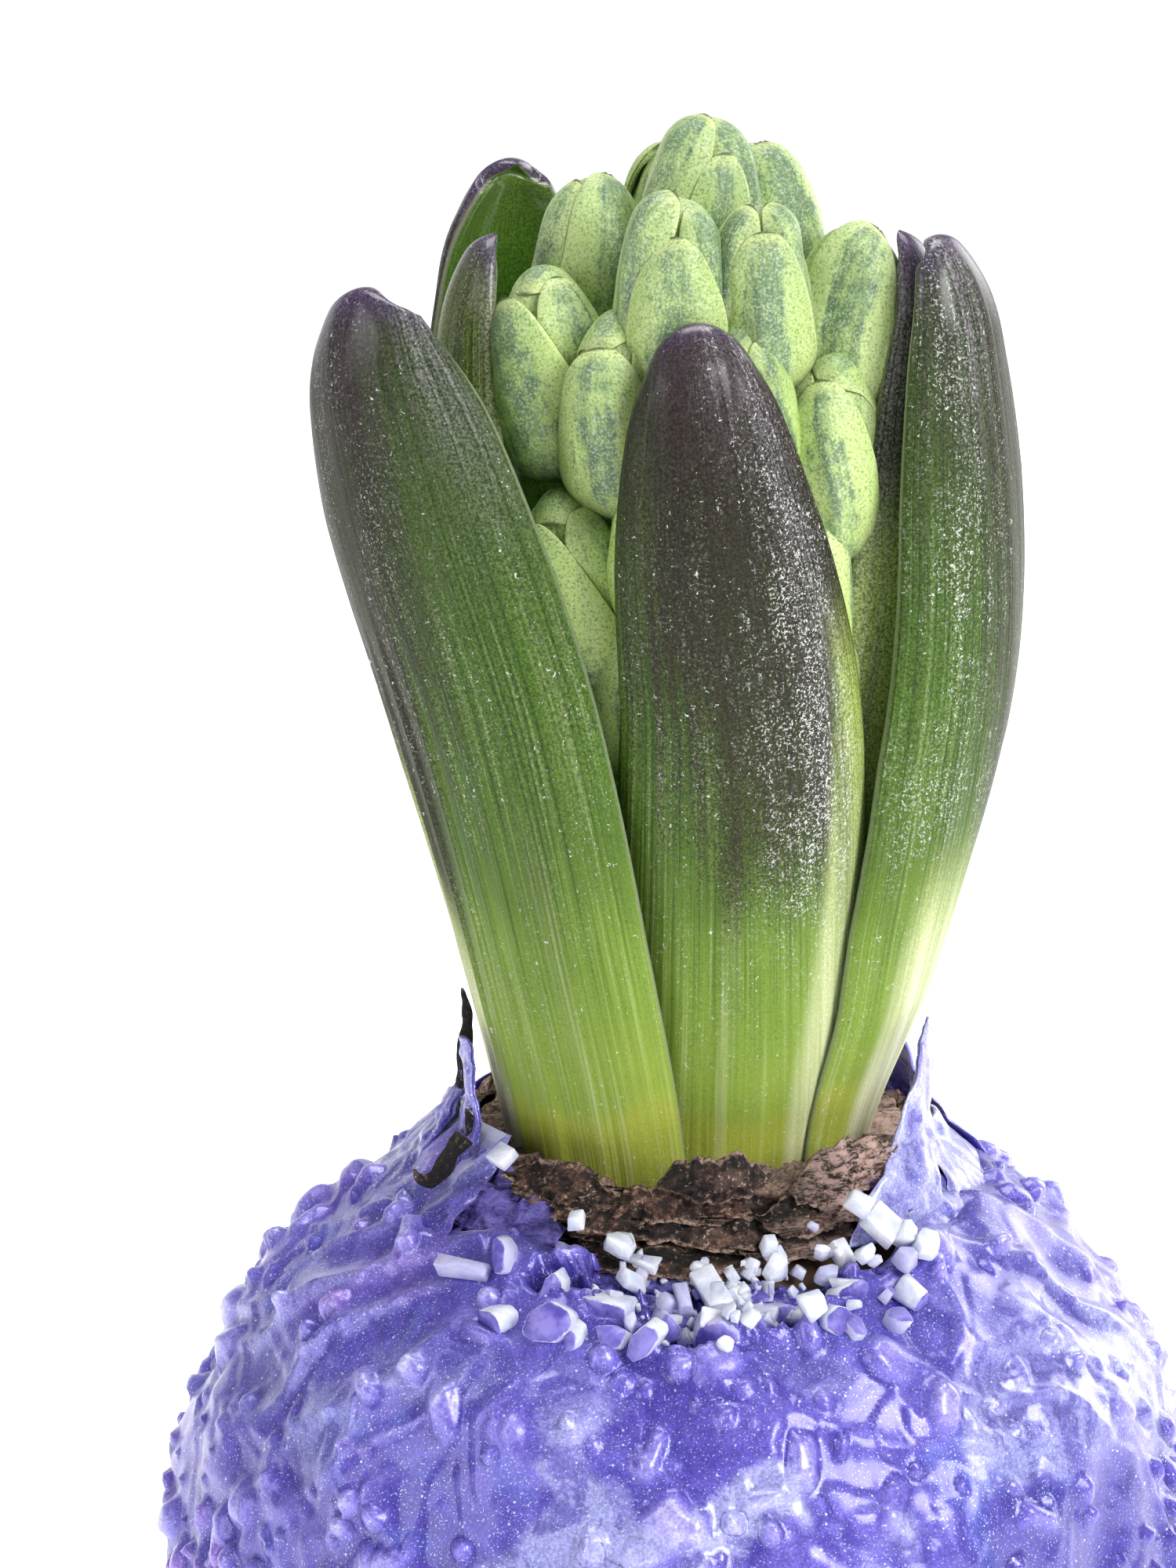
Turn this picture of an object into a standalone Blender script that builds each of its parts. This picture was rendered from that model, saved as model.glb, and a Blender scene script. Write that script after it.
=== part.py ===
"""A hyacinth in tight bud, growing from a bulb that is dipped in pearly wax.

Metres, +Z up. The origin is the centre of the flat wax foot that the bulb stands on, and -Y is the front.
Driving dimensions are in millimetres, and MM turns them into metres where points are written.
"""

import math
import random

import bmesh
import bpy
import numpy as np

MM = 0.001

# The dipped bulb: a ball of wax with full shoulders, a flat foot and a torn mouth at the neck.
BODY_RADIUS = 32.2
BODY_CENTRE = 27.6
SHOULDER = 0.035
WAX_THICKNESS = 1.5
WAX_LUMP = 0.9
MOUTH_RADIUS = 18.6
MOUTH_TEAR = 1.5
WAX_SEGMENTS = 44
WAX_RINGS = 23
MOUTH_RING = 4
FIT_GAP = 0.3
BULB_CLEARANCE = 0.8
BULB_RADIUS = BODY_RADIUS - WAX_THICKNESS - WAX_LUMP - BULB_CLEARANCE
BULB_SEGMENTS = 32
BULB_STEPS = 12
NECK_RADIUS = 13.9
NECK_TOP = 55.0
WELL_RADIUS = 12.4
WELL_FLOOR = 49.2

# Torn flaps of wax at the mouth, leaning in and then standing against the leaves. Each is (azimuth, width in
# degrees, share of the full height, extra reach at the top); FLAP_PATH is (reach, height) from root to top.
WAX_FLAPS = ((-96, 34, 1.0, 0), (-60, 20, 0.72, 0.3), (98, 40, 0.88, 1.6), (62, 18, 0.7, 0.8),
             (-146, 26, 0.75, 0.2))
FLAP_PATH = ((19.6, 53.0), (18.0, 57.2), (14.9, 60.4), (13.6, 66.5))
FLAP_THICKNESS = 0.8
FLAP_COLUMNS = 6
FLAP_ROWS = 6
FLAP_SIDE_DROP = 0.3
FLAP_TEAR = 0.08

# The dry tunic round the leaves: torn sheets, each from its outer foot to its torn top as (reach, height).
TUNIC_SHEETS = (
    ((14.9, 55.1), (13.8, 56.7), (13.2, 59.0)),
    ((15.1, 55.1), (15.1, 56.5), (14.6, 57.9)),
    ((14.9, 55.1), (16.0, 55.5), (17.0, 55.3)),
)
TUNIC_THICKNESS = 0.8
TUNIC_TEAR = 0.9
TUNIC_COLUMNS = 32
TUNIC_ROWS = 3
TUNIC_SPREAD = 0.25

# The crumbs of wax that lie at the front of the mouth: two staggered rows of (reach, first azimuth, count).
CRUMB_ROWS = ((19.3, -44, 13), (21.6, -30, 10))
CRUMB_STEP = 7.2
CRUMB_SIZE = 3.3
CRUMB_LIFT = 2.5
CRUMB_STRAY = 0.3
CRUMB_STRETCH = (0.88, 1.2)

# Leaves: the midrib runs through (reach from the axis, azimuth in degrees, height); azimuth 0 faces the
# front. face holds the outward azimuth from base to tip, and curl the half angle of the cross arc.
LEAF_THICKNESS = 1.1
LEAF_MARGIN = 0.62
LEAF_ROWS = 16
LEAF_COLUMNS = 8
LEAF_SAMPLES = 400
ROWS_TO_TIP = 1.4
TIP_HALF_WIDTH = 0.7
LEAST_ARC_RADIUS = 1.7
TIP_WEIGHT = 0.4
LEAVES = {
    "leaf_left": dict(
        rib=((10.4, -46, 50), (11.2, -48, 58), (12.8, -51, 66), (17.2, -56, 84), (21.2, -61, 98),
             (22.9, -63, 112.5)),
        face=(-46, -47, -40, -39), width=20.3, widest=0.55, base=0.85, hook=70, hook_length=5,
        curl=(56, 48, 46, 52, 66)),
    "leaf_front": dict(
        rib=((8.9, 26, 50), (10.8, 23, 66), (14.4, 15, 84), (15.4, 7, 98), (12.5, 1, 110.6)),
        face=(24, 20, 12, 4), width=18.5, widest=0.38, base=0.88, hook=50, hook_length=3,
        curl=(62, 60, 54, 50, 56)),
    "leaf_right": dict(
        rib=((10.4, 94, 50), (11.3, 93, 57.5), (15.0, 89, 67), (19.2, 79, 84), (19.6, 74, 98),
             (17.0, 72, 115)),
        face=(102, 84, 67, 58, 54), width=17.5, widest=0.45, base=0.9, hook=60, hook_length=4.5,
        curl=(52, 50, 50, 56, 66)),
    "leaf_right_inner": dict(
        rib=((6.8, 96, 50), (9.9, 93, 66), (15.0, 88, 84), (16.3, 85, 98), (14.9, 81, 114.5)),
        face=(88, 76, 70, 74), width=14.5, widest=0.45, base=0.8, hook=55, hook_length=4,
        curl=(54, 46, 42, 44, 60)),
    "leaf_left_inner": dict(
        rib=((7.4, -84, 50), (10.2, -82, 66), (13.9, -79, 84), (15.3, -77, 98), (13.9, -76, 114)),
        face=(-78, -72, -68, -62), width=13.0, widest=0.4, base=0.85, hook=40, hook_length=3,
        curl=(54, 52, 48, 46, 48)),
    "leaf_back_left": dict(
        rib=((9.2, -146, 50), (11.6, -144, 66), (15.4, -140, 84), (17.6, -138, 98), (17.3, -137, 117)),
        face=(-152, -150, -150, -152), width=18.5, widest=0.55, base=0.85, hook=60, hook_length=4.5,
        curl=(54, 50, 48, 54, 66)),
}

# The flower spike: rows of buds round the stalk, each (height, reach, lean out, azimuths).
AXIS_X = 0.6
BUD_LENGTH = 11.2
BUD_WIDTH = 6.7
BUD_SEGMENTS = 12
BUD_RINGS = 7
BUD_WIDEST = 0.56
BUD_ROUNDING = 2.6
TEPALS = 3
TEPAL_SWELL = 0.04
SEAM_DEPTH = 0.08
TIP_SEAM_DEPTH = 0.22
TIP_SEAM_DROP = 0.07
ROLL_STRAY = 12
SIZE_RANGE = (0.97, 1.04)
CORE_SEGMENTS = 16
CORE_PROFILE = ((0, 113), (2.6, 112.4), (5.4, 109), (7.4, 100), (7.2, 84), (5.2, 76), (4.2, 70),
                (4.6, WELL_FLOOR + FIT_GAP), (0, WELL_FLOOR + FIT_GAP))
BUD_ROWS = (
    (115.0, 0.4, 2, (40,)),
    (112.0, 5.8, -6, (135, -165)),
    (110.3, 6.6, 0, (-100, -12, 30)),
    (107.6, 8.8, 5, (82, 165)),
    (105.4, 9.2, 8, (-72, 124, -125)),
    (103.4, 8.1, 6, (-34, 16, -168)),
    (100.4, 8.4, 8, (64, 104, 148, -102)),
    (95.2, 8.7, 10, (-12, 126, 176, -140)),
    (92.6, 8.8, 9, (-62, 38)),
    (93.4, 8.2, 9, (84,)),
    (86.6, 7.4, 10, (-28, 14, 60, 110, 156, -158, -112)),
)


def clear_scene():
    """Removes the objects that Blender starts with."""
    for scene_object in list(bpy.data.objects):
        bpy.data.objects.remove(scene_object, do_unlink=True)


def make_collection(name):
    collection = bpy.data.collections.new(name)
    bpy.context.scene.collection.children.link(collection)
    return collection


def make_material(name, color, roughness):
    """A plain Principled material."""
    material = bpy.data.materials.new(name)
    material.use_nodes = True
    shader = material.node_tree.nodes["Principled BSDF"]
    shader.inputs["Base Color"].default_value = (*color, 1.0)
    shader.inputs["Roughness"].default_value = roughness
    return material


def make_object(name, bm, collection, material):
    """Turns a bmesh into an object with outward faces."""
    bmesh.ops.recalc_face_normals(bm, faces=bm.faces)
    mesh = bpy.data.meshes.new(name)
    bm.to_mesh(mesh)
    bm.free()
    mesh.shade_smooth()
    made = bpy.data.objects.new(name, mesh)
    made.data.materials.append(material)
    collection.objects.link(made)
    return made


def smooth_step(x):
    x = np.clip(x, 0, 1)
    return x * x * (3 - 2 * x)


def curve_through(points, along):
    """A smooth curve through points at the fractions along, by cubic Hermite pieces over chord length."""
    points = np.asarray(points, float)
    chord = np.linalg.norm(np.diff(points, axis=0), axis=1)
    knot = np.concatenate([[0], np.cumsum(chord)]) / chord.sum()
    slope = np.empty_like(points)
    slope[1:-1] = (points[2:] - points[:-2]) / (knot[2:] - knot[:-2])[:, None]
    slope[0] = 2 * (points[1] - points[0]) / (knot[1] - knot[0]) - slope[1]
    slope[-1] = 2 * (points[-1] - points[-2]) / (knot[-1] - knot[-2]) - slope[-2]
    piece = np.clip(np.searchsorted(knot, along, side="right") - 1, 0, len(knot) - 2)
    span = (knot[piece + 1] - knot[piece])[:, None]
    x = ((along - knot[piece]) / span[:, 0])[:, None]
    return (
        (2 * x**3 - 3 * x**2 + 1) * points[piece]
        + (x**3 - 2 * x**2 + x) * span * slope[piece]
        + (3 * x**2 - 2 * x**3) * points[piece + 1]
        + (x**3 - x**2) * span * slope[piece + 1]
    )


def spread(values, along):
    """Values given at even steps from base to tip, read at the fractions along."""
    return np.interp(along, np.linspace(0, 1, len(values)), values)


def normalized(vectors):
    return vectors / np.linalg.norm(vectors, axis=-1, keepdims=True)


def leaf_frame(leaf):
    """The midrib of a leaf with its sideways and outward directions, evenly spaced by arc length.

    The last hook_length turns inwards by hook degrees, which makes the hooded tip.
    """
    even = np.linspace(0, 1, LEAF_SAMPLES)
    reach, azimuth, height = np.array(leaf["rib"], float).T
    azimuth = np.radians(azimuth)
    through = np.stack([reach * np.sin(azimuth), -reach * np.cos(azimuth), height], axis=-1)
    rib = curve_through(through, even)
    arc = np.concatenate([[0], np.cumsum(np.linalg.norm(np.diff(rib, axis=0), axis=1))])
    rib = curve_through(through, np.interp(even * arc[-1], arc, even))
    face = np.radians(spread(leaf["face"], even))
    level = np.stack([np.cos(face), np.sin(face), np.zeros(LEAF_SAMPLES)], axis=-1)
    tangent = normalized(np.gradient(rib, axis=0))
    side = normalized(level - tangent * np.sum(level * tangent, axis=1)[:, None])
    outward = np.cross(side, tangent)
    bend_start = arc[-1] - leaf["hook_length"]
    bend = np.radians(leaf["hook"]) * smooth_step((even * arc[-1] - bend_start) / leaf["hook_length"])
    bend = bend[:, None]
    hooked = tangent * np.cos(bend) - outward * np.sin(bend)
    outward = outward * np.cos(bend) + tangent * np.sin(bend)
    step = arc[-1] / (LEAF_SAMPLES - 1)
    walked = np.cumsum((hooked[1:] + hooked[:-1]) / 2 * step, axis=0)
    rib = through[0] + np.concatenate([np.zeros((1, 3)), walked])
    return rib, side, outward


def leaf_half_width(leaf, along):
    """Half the leaf's width: it swells from the base to its widest place, then closes as half an ellipse."""
    swell = leaf["base"] + (1 - leaf["base"]) * np.sin(np.clip(along / leaf["widest"], 0, 1) * math.pi / 2)
    beyond = np.clip((along - leaf["widest"]) / (1 - leaf["widest"]), 0, 1)
    return leaf["width"] / 2 * swell * np.sqrt(1 - beyond**2)


def leaf_points(leaf, rows, columns):
    """The outer face of a leaf as rows of points, each row an arc that bends in towards the spike."""
    rib, side, outward = leaf_frame(leaf)
    along = 1 - (1 - np.linspace(0, 1, rows)) ** ROWS_TO_TIP
    at = np.round(along * (LEAF_SAMPLES - 2)).astype(int)
    half_width = np.maximum(leaf_half_width(leaf, along), TIP_HALF_WIDTH)
    curl = np.radians(spread(leaf["curl"], along))
    curl = np.minimum(curl, half_width / LEAST_ARC_RADIUS)
    angle = curl[:, None] * np.linspace(-1, 1, columns)
    radius = (half_width / curl)[:, None, None]
    across = radius * np.sin(angle)[..., None] * side[at][:, None, :]
    inward = radius * (1 - np.cos(angle))[..., None] * outward[at][:, None, :]
    return rib[at][:, None, :] + across - inward


def set_points(made, points):
    """Moves a grid's points to the rows and columns given, in mm, and splits its faces into triangles."""
    made.data.vertices.foreach_set("co", (points * MM).ravel())
    bm = bmesh.new()
    bm.from_mesh(made.data)
    bmesh.ops.remove_doubles(bm, verts=bm.verts, dist=0.000001)
    bmesh.ops.triangulate(bm, faces=bm.faces)
    bmesh.ops.recalc_face_normals(bm, faces=bm.faces)
    bm.to_mesh(made.data)
    bm.free()
    made.data.shade_smooth()


def make_sheet(name, points, thickness, collection, material):
    """A thin sheet through rows and columns of points, thickened to both sides."""
    rows, columns = points.shape[:2]
    bpy.ops.mesh.primitive_grid_add(x_subdivisions=columns - 1, y_subdivisions=rows - 1)
    made = bpy.context.object
    made.name = made.data.name = name
    set_points(made, points)
    made.data.materials.append(material)
    solidify = made.modifiers.new("Thickness", "SOLIDIFY")
    solidify.thickness = thickness * MM
    solidify.offset = 0
    apply_modifiers(made)
    move_to(made, collection)
    return made


def make_ring_sheet(name, points, thickness, collection, material):
    """A thin sheet that closes on itself round the axis."""
    closed = np.concatenate([points, points[:, :1]], axis=1)
    return make_sheet(name, closed, thickness, collection, material)


def make_leaf(name, leaf, collection, material):
    """A fleshy leaf: a curved sheet thickened inwards, full at the midrib and thin at its margins and tip."""
    points = leaf_points(leaf, LEAF_ROWS, LEAF_COLUMNS)
    bpy.ops.mesh.primitive_grid_add(x_subdivisions=LEAF_COLUMNS - 1, y_subdivisions=LEAF_ROWS - 1)
    made = bpy.context.object
    made.name = made.data.name = name
    set_points(made, points)
    made.data.materials.append(material)
    full = made.vertex_groups.new(name="full")
    for row in range(LEAF_ROWS):
        for column in range(LEAF_COLUMNS):
            across = 2 * column / (LEAF_COLUMNS - 1) - 1
            weight = (1 - across**4) * (1 if row < LEAF_ROWS - 2 else TIP_WEIGHT)
            full.add([row * LEAF_COLUMNS + column], weight, "REPLACE")
    solidify = made.modifiers.new("Thickness", "SOLIDIFY")
    solidify.thickness = LEAF_THICKNESS * MM
    solidify.offset = -1
    solidify.vertex_group = full.name
    solidify.thickness_vertex_group = LEAF_MARGIN / LEAF_THICKNESS
    move_to(made, collection)
    return made


def move_to(made, collection):
    for owner in made.users_collection:
        owner.objects.unlink(made)
    collection.objects.link(made)


def bud_points(unit):
    """Moves the points of a unit ball to a closed bud, 1 long and 1 wide.

    The bud narrows to its foot and is blunt at the top. Three outer tepals swell it between three seams,
    and near the top they part into three rounded tips.
    """
    rise = (unit[:, 2] + 1) / 2
    turn = np.arctan2(unit[:, 1], unit[:, 0])
    foot = np.sin(np.clip(rise / BUD_WIDEST, 0, 1) * math.pi / 2) ** 0.8
    beyond = np.clip((rise - BUD_WIDEST) / (1 - BUD_WIDEST), 0, 1)
    radius = 0.5 * foot * np.sqrt(1 - beyond**BUD_ROUNDING)
    swell = np.abs(np.cos(TEPALS / 2 * turn)) ** 0.6
    depth = SEAM_DEPTH + TIP_SEAM_DEPTH * smooth_step((rise - 0.6) / 0.35)
    radius = radius * (1 + TEPAL_SWELL - depth * (1 - swell))
    drop = TIP_SEAM_DROP * smooth_step((rise - 0.7) / 0.3) * (1 - swell)
    return np.stack([radius * np.cos(turn), radius * np.sin(turn), rise - 0.5 - drop], axis=-1)


def make_bud(height, reach, lean, azimuth, roll, size, collection, material):
    """One bud, set on its place round the stalk with its foot towards the stalk."""
    bm = bmesh.new()
    bmesh.ops.create_uvsphere(bm, u_segments=BUD_SEGMENTS, v_segments=BUD_RINGS, radius=1)
    unit = np.array([vertex.co[:] for vertex in bm.verts])
    local = bud_points(unit) * (BUD_WIDTH * size, BUD_WIDTH * size, BUD_LENGTH * size)
    local = local @ turn_about_z(roll).T
    local = local @ turn_about_x(lean).T
    local = local @ turn_about_z(azimuth).T
    centre = np.array([AXIS_X + reach * math.sin(math.radians(azimuth)),
                       -reach * math.cos(math.radians(azimuth)), height])
    for vertex, point in zip(bm.verts, (local + centre) * MM):
        vertex.co = point
    return make_object("bud", bm, collection, material)


def turn_about_z(degrees):
    c, s = math.cos(math.radians(degrees)), math.sin(math.radians(degrees))
    return np.array([[c, -s, 0], [s, c, 0], [0, 0, 1]])


def turn_about_x(degrees):
    c, s = math.cos(math.radians(degrees)), math.sin(math.radians(degrees))
    return np.array([[1, 0, 0], [0, c, -s], [0, s, c]])


def make_turned(name, profile, segments, collection, material):
    """A profile of (radius, height) points, turned round the axis by a Screw modifier."""
    mesh = bpy.data.meshes.new(name)
    points = [(radius * MM, 0, height * MM) for radius, height in profile]
    mesh.from_pydata(points, [(i, i + 1) for i in range(len(points) - 1)], [])
    mesh.materials.append(material)
    made = bpy.data.objects.new(name, mesh)
    collection.objects.link(made)
    screw = made.modifiers.new("Turn", "SCREW")
    screw.steps = screw.render_steps = segments
    screw.use_merge_vertices = True
    screw.merge_threshold = 0.00001
    screw.use_smooth_shade = True
    return made


def apply_modifiers(made):
    """Replaces the mesh by what its modifiers make of it."""
    graph = bpy.context.evaluated_depsgraph_get()
    mesh = bpy.data.meshes.new_from_object(made.evaluated_get(graph))
    made.modifiers.clear()
    made.data = mesh


def join(made, pieces):
    """Joins made with every object in the collection pieces, which are then removed."""
    union = made.modifiers.new("Join", "BOOLEAN")
    union.operation = "UNION"
    union.operand_type = "COLLECTION"
    union.collection = pieces
    union.solver = "EXACT"
    apply_modifiers(made)
    for piece in list(pieces.objects):
        bpy.data.objects.remove(piece, do_unlink=True)
    fill_pockets(made)


def fill_pockets(made):
    """Fills the small pockets that a union seals, by keeping only the outermost skin."""
    bm = bmesh.new()
    bm.from_mesh(made.data)
    unseen = set(bm.verts)
    skins = []
    while unseen:
        skin = {unseen.pop()}
        edge = list(skin)
        while edge:
            near = {link.other_vert(vertex) for vertex in edge for link in vertex.link_edges}
            edge = list(near & unseen)
            skin |= near
            unseen -= near
        skins.append(skin)
    outermost = max(skins, key=len)
    bmesh.ops.delete(bm, geom=[v for v in bm.verts if v not in outermost], context="VERTS")
    bm.to_mesh(made.data)
    bm.free()


def make_flower_head(collection, helpers, material):
    """The stalk with its rows of buds, joined as one bloom."""
    head = make_turned("flower_head", CORE_PROFILE, CORE_SEGMENTS, collection, material)
    apply_modifiers(head)
    draw = random.Random(7)
    for height, reach, lean, azimuths in BUD_ROWS:
        for azimuth in azimuths:
            roll = draw.choice((0, 180 / TEPALS)) + draw.uniform(-ROLL_STRAY, ROLL_STRAY)
            size = draw.uniform(*SIZE_RANGE)
            make_bud(height, reach, lean, azimuth, roll, size, helpers, material)
    join(head, helpers)
    return head


def wax_relief(direction):
    """How far the wax stands out, in mm, in a direction from the centre of the ball: lumps of two sizes."""
    x, y, z = direction
    broad = math.sin(5.1 * x + 1.3 * z + 0.4) * math.sin(4.3 * y - 2.2 * z + 1.1)
    fine = math.sin(13 * x + 5 * y + 1) * math.sin(14 * z - 6 * y + 0.6) * math.sin(12 * y + 4 * x + 2)
    return WAX_LUMP * (0.3 * broad + 0.7 * fine)


def body_reach(radius, polar):
    """The distance from the centre of the ball to its surface: a little more at the shoulders."""
    return radius * (1 + SHOULDER * math.sin(2 * polar) ** 2)


def body_height(reach):
    """The height of the plain wax surface over a point that far from the axis."""
    polar = math.asin(reach / body_reach(BODY_RADIUS, math.asin(reach / BODY_RADIUS)))
    return BODY_CENTRE + body_reach(BODY_RADIUS, polar) * math.cos(polar)


def body_point(polar, turn):
    """A point on the lumpy outside of the wax, with the foot cut flat at height 0."""
    direction = (math.sin(polar) * math.cos(turn), math.sin(polar) * math.sin(turn), math.cos(polar))
    reach = body_reach(BODY_RADIUS, polar) + wax_relief(direction)
    if direction[2] * reach < -BODY_CENTRE:
        reach = -BODY_CENTRE / direction[2]
    x, y, z = (component * reach for component in direction)
    return (x * MM, y * MM, (z + BODY_CENTRE) * MM)


def torn(turn, seed):
    """An uneven line between -1 and 1 round the axis, for torn edges."""
    waves = ((3, 0.35), (5, 0.25), (8, 0.2), (13, 0.2))
    return sum(size * math.sin(count * turn + seed * (count + 1.7)) for count, size in waves)


def make_flap(azimuth, width, share, extra_reach, collection, material):
    """A torn flap of wax: a sheet that leaves the shoulder, leans in and stands against the leaves."""
    points = np.empty((FLAP_ROWS, FLAP_COLUMNS, 3))
    for column in range(FLAP_COLUMNS):
        across = 2 * column / (FLAP_COLUMNS - 1) - 1
        turn = math.radians(azimuth + width / 2 * across)
        top = share * (1 - FLAP_SIDE_DROP * across**2) + FLAP_TEAR * torn(3 * turn, azimuth)
        path = curve_through([(*point, 0) for point in FLAP_PATH], top * np.linspace(0, 1, FLAP_ROWS))
        for row, (reach, height, _) in enumerate(path):
            reach += extra_reach * smooth_step(row / (FLAP_ROWS - 1))
            points[row, column] = (reach * math.sin(turn), -reach * math.cos(turn), height)
    return make_sheet("flap", points, FLAP_THICKNESS, collection, material)


def make_wax_coat(collection, helpers, material):
    """The wax: an open ball, thickened inwards, with torn flaps standing at its mouth."""
    bm = bmesh.new()
    bmesh.ops.create_uvsphere(bm, u_segments=WAX_SEGMENTS, v_segments=WAX_RINGS, radius=1)
    levels = sorted({round(vertex.co.z, 5) for vertex in bm.verts}, reverse=True)
    top = [vertex for vertex in bm.verts if round(vertex.co.z, 5) > levels[MOUTH_RING]]
    bmesh.ops.delete(bm, geom=top, context="VERTS")
    row_of = {height: row for row, height in enumerate(levels[MOUTH_RING:])}
    for vertex in bm.verts:
        turn = math.atan2(vertex.co.y, vertex.co.x)
        mouth = math.asin((MOUTH_RADIUS + MOUTH_TEAR * torn(turn, 1)) / BODY_RADIUS)
        polar = mouth + (math.pi - mouth) * row_of[round(vertex.co.z, 5)] / (len(row_of) - 1)
        vertex.co = body_point(polar, turn)
    coat = make_object("wax_coat", bm, collection, material)
    solidify = coat.modifiers.new("Thickness", "SOLIDIFY")
    solidify.thickness = WAX_THICKNESS * MM
    solidify.offset = -1
    apply_modifiers(coat)
    for azimuth, width, share, extra_reach in WAX_FLAPS:
        make_flap(azimuth, width, share, extra_reach, helpers, material)
    join(coat, helpers)
    return coat


def make_bulb(collection, material):
    """The fleshy bulb, with a well in its neck where the leaves and the stalk stand."""
    inset = WAX_THICKNESS + FIT_GAP
    neck_angle = math.asin(NECK_RADIUS / BULB_RADIUS)
    foot_angle = math.acos((inset - BODY_CENTRE) / BULB_RADIUS)
    profile = [(0, WELL_FLOOR), (WELL_RADIUS, WELL_FLOOR), (WELL_RADIUS, NECK_TOP), (NECK_RADIUS, NECK_TOP)]
    for step in range(1, BULB_STEPS + 1):
        polar = neck_angle + (foot_angle - neck_angle) * step / BULB_STEPS
        reach = body_reach(BULB_RADIUS, polar)
        profile.append((reach * math.sin(polar), max(inset, BODY_CENTRE + reach * math.cos(polar))))
    profile.append((0, inset))
    return make_turned("bulb", profile, BULB_SEGMENTS, collection, material)


def make_tunic(collection, helpers, material):
    """The dry tunic: rings of torn sheet, one outside another, joined where they rise from the neck."""
    sheets = []
    for index, (foot, middle, top) in enumerate(TUNIC_SHEETS):
        points = np.empty((TUNIC_ROWS, TUNIC_COLUMNS, 3))
        for column in range(TUNIC_COLUMNS):
            turn = 2 * math.pi * column / TUNIC_COLUMNS
            rise = TUNIC_TEAR * torn(turn, index + 2)
            ends = [(*foot, 0), (*middle, 0), (top[0] + TUNIC_SPREAD * rise, top[1] + rise, 0)]
            path = curve_through(ends, np.linspace(0, 1, TUNIC_ROWS))
            for row, (reach, height, _) in enumerate(path):
                points[row, column] = (reach * math.sin(turn), -reach * math.cos(turn), height)
        sheets.append(make_ring_sheet("tunic", points, TUNIC_THICKNESS, helpers, material))
    tunic = sheets[0]
    move_to(tunic, collection)
    join(tunic, helpers)
    return tunic


def make_crumbs(collection, helpers, material):
    """White crumbs of wax in two rows on the shoulder: rough stones, each sunk a little into the next."""
    draw = random.Random(11)
    for row_reach, first, count in CRUMB_ROWS:
        for index in range(count):
            turn = math.radians(first + CRUMB_STEP * index)
            reach = row_reach + draw.uniform(-CRUMB_STRAY, CRUMB_STRAY)
            centre = (reach * math.sin(turn), -reach * math.cos(turn), body_height(reach) + CRUMB_LIFT)
            bm = bmesh.new()
            bmesh.ops.create_icosphere(bm, subdivisions=1, radius=CRUMB_SIZE / 2)
            for vertex in bm.verts:
                stretch = draw.uniform(*CRUMB_STRETCH)
                vertex.co = [(place + stretch * part) * MM for place, part in zip(centre, vertex.co)]
            make_object("crumb", bm, helpers, material)
    crumbs = helpers.objects[0]
    crumbs.name = crumbs.data.name = "crumbs"
    move_to(crumbs, collection)
    join(crumbs, helpers)
    return crumbs


def build():
    clear_scene()
    parts = make_collection("hyacinth_flower_with_bulb")
    helpers = make_collection("helpers")
    wax = make_material("wax", (0.14, 0.12, 0.5), 0.35)
    flesh = make_material("bulb_flesh", (0.6, 0.5, 0.32), 0.7)
    dry = make_material("dry_tunic", (0.07, 0.04, 0.025), 0.85)
    white = make_material("white_wax", (0.75, 0.77, 0.85), 0.4)
    leaf = make_material("leaf", (0.1, 0.2, 0.05), 0.5)
    bud = make_material("bud", (0.35, 0.5, 0.15), 0.55)
    make_wax_coat(parts, helpers, wax)
    make_bulb(parts, flesh)
    make_tunic(parts, helpers, dry)
    make_crumbs(parts, helpers, white)
    for name, shape in LEAVES.items():
        make_leaf(name, shape, parts, leaf)
    make_flower_head(parts, helpers, bud)


build()
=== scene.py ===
import math
import random

import bpy
import numpy as np
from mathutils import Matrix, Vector


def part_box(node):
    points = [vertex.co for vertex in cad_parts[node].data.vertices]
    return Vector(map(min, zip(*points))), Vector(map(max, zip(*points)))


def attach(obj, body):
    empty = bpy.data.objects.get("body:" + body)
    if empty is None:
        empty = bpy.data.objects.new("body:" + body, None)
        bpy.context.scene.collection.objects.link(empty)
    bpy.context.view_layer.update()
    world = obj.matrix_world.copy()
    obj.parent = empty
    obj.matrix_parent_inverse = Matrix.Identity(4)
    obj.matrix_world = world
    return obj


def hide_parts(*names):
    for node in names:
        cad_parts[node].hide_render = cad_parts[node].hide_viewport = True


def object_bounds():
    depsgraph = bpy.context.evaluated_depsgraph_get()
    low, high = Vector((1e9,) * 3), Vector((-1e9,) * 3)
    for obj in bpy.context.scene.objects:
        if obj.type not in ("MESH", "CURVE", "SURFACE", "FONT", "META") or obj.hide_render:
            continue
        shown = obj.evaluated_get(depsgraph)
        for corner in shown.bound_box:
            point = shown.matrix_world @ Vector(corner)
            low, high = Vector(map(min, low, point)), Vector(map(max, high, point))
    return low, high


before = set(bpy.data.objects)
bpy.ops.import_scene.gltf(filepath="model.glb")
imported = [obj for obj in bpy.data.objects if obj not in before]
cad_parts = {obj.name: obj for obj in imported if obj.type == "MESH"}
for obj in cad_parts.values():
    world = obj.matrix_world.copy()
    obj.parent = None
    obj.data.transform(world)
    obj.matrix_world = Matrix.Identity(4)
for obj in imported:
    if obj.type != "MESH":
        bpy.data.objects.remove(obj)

# A hyacinth in tight bud, growing from a bulb dipped in pearly wax. Lengths are in millimetres and MM turns them
# into metres. Azimuth 0 is the front (-Y), and a place is given as (reach from the axis, azimuth, height).
MM = 0.001
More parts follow.
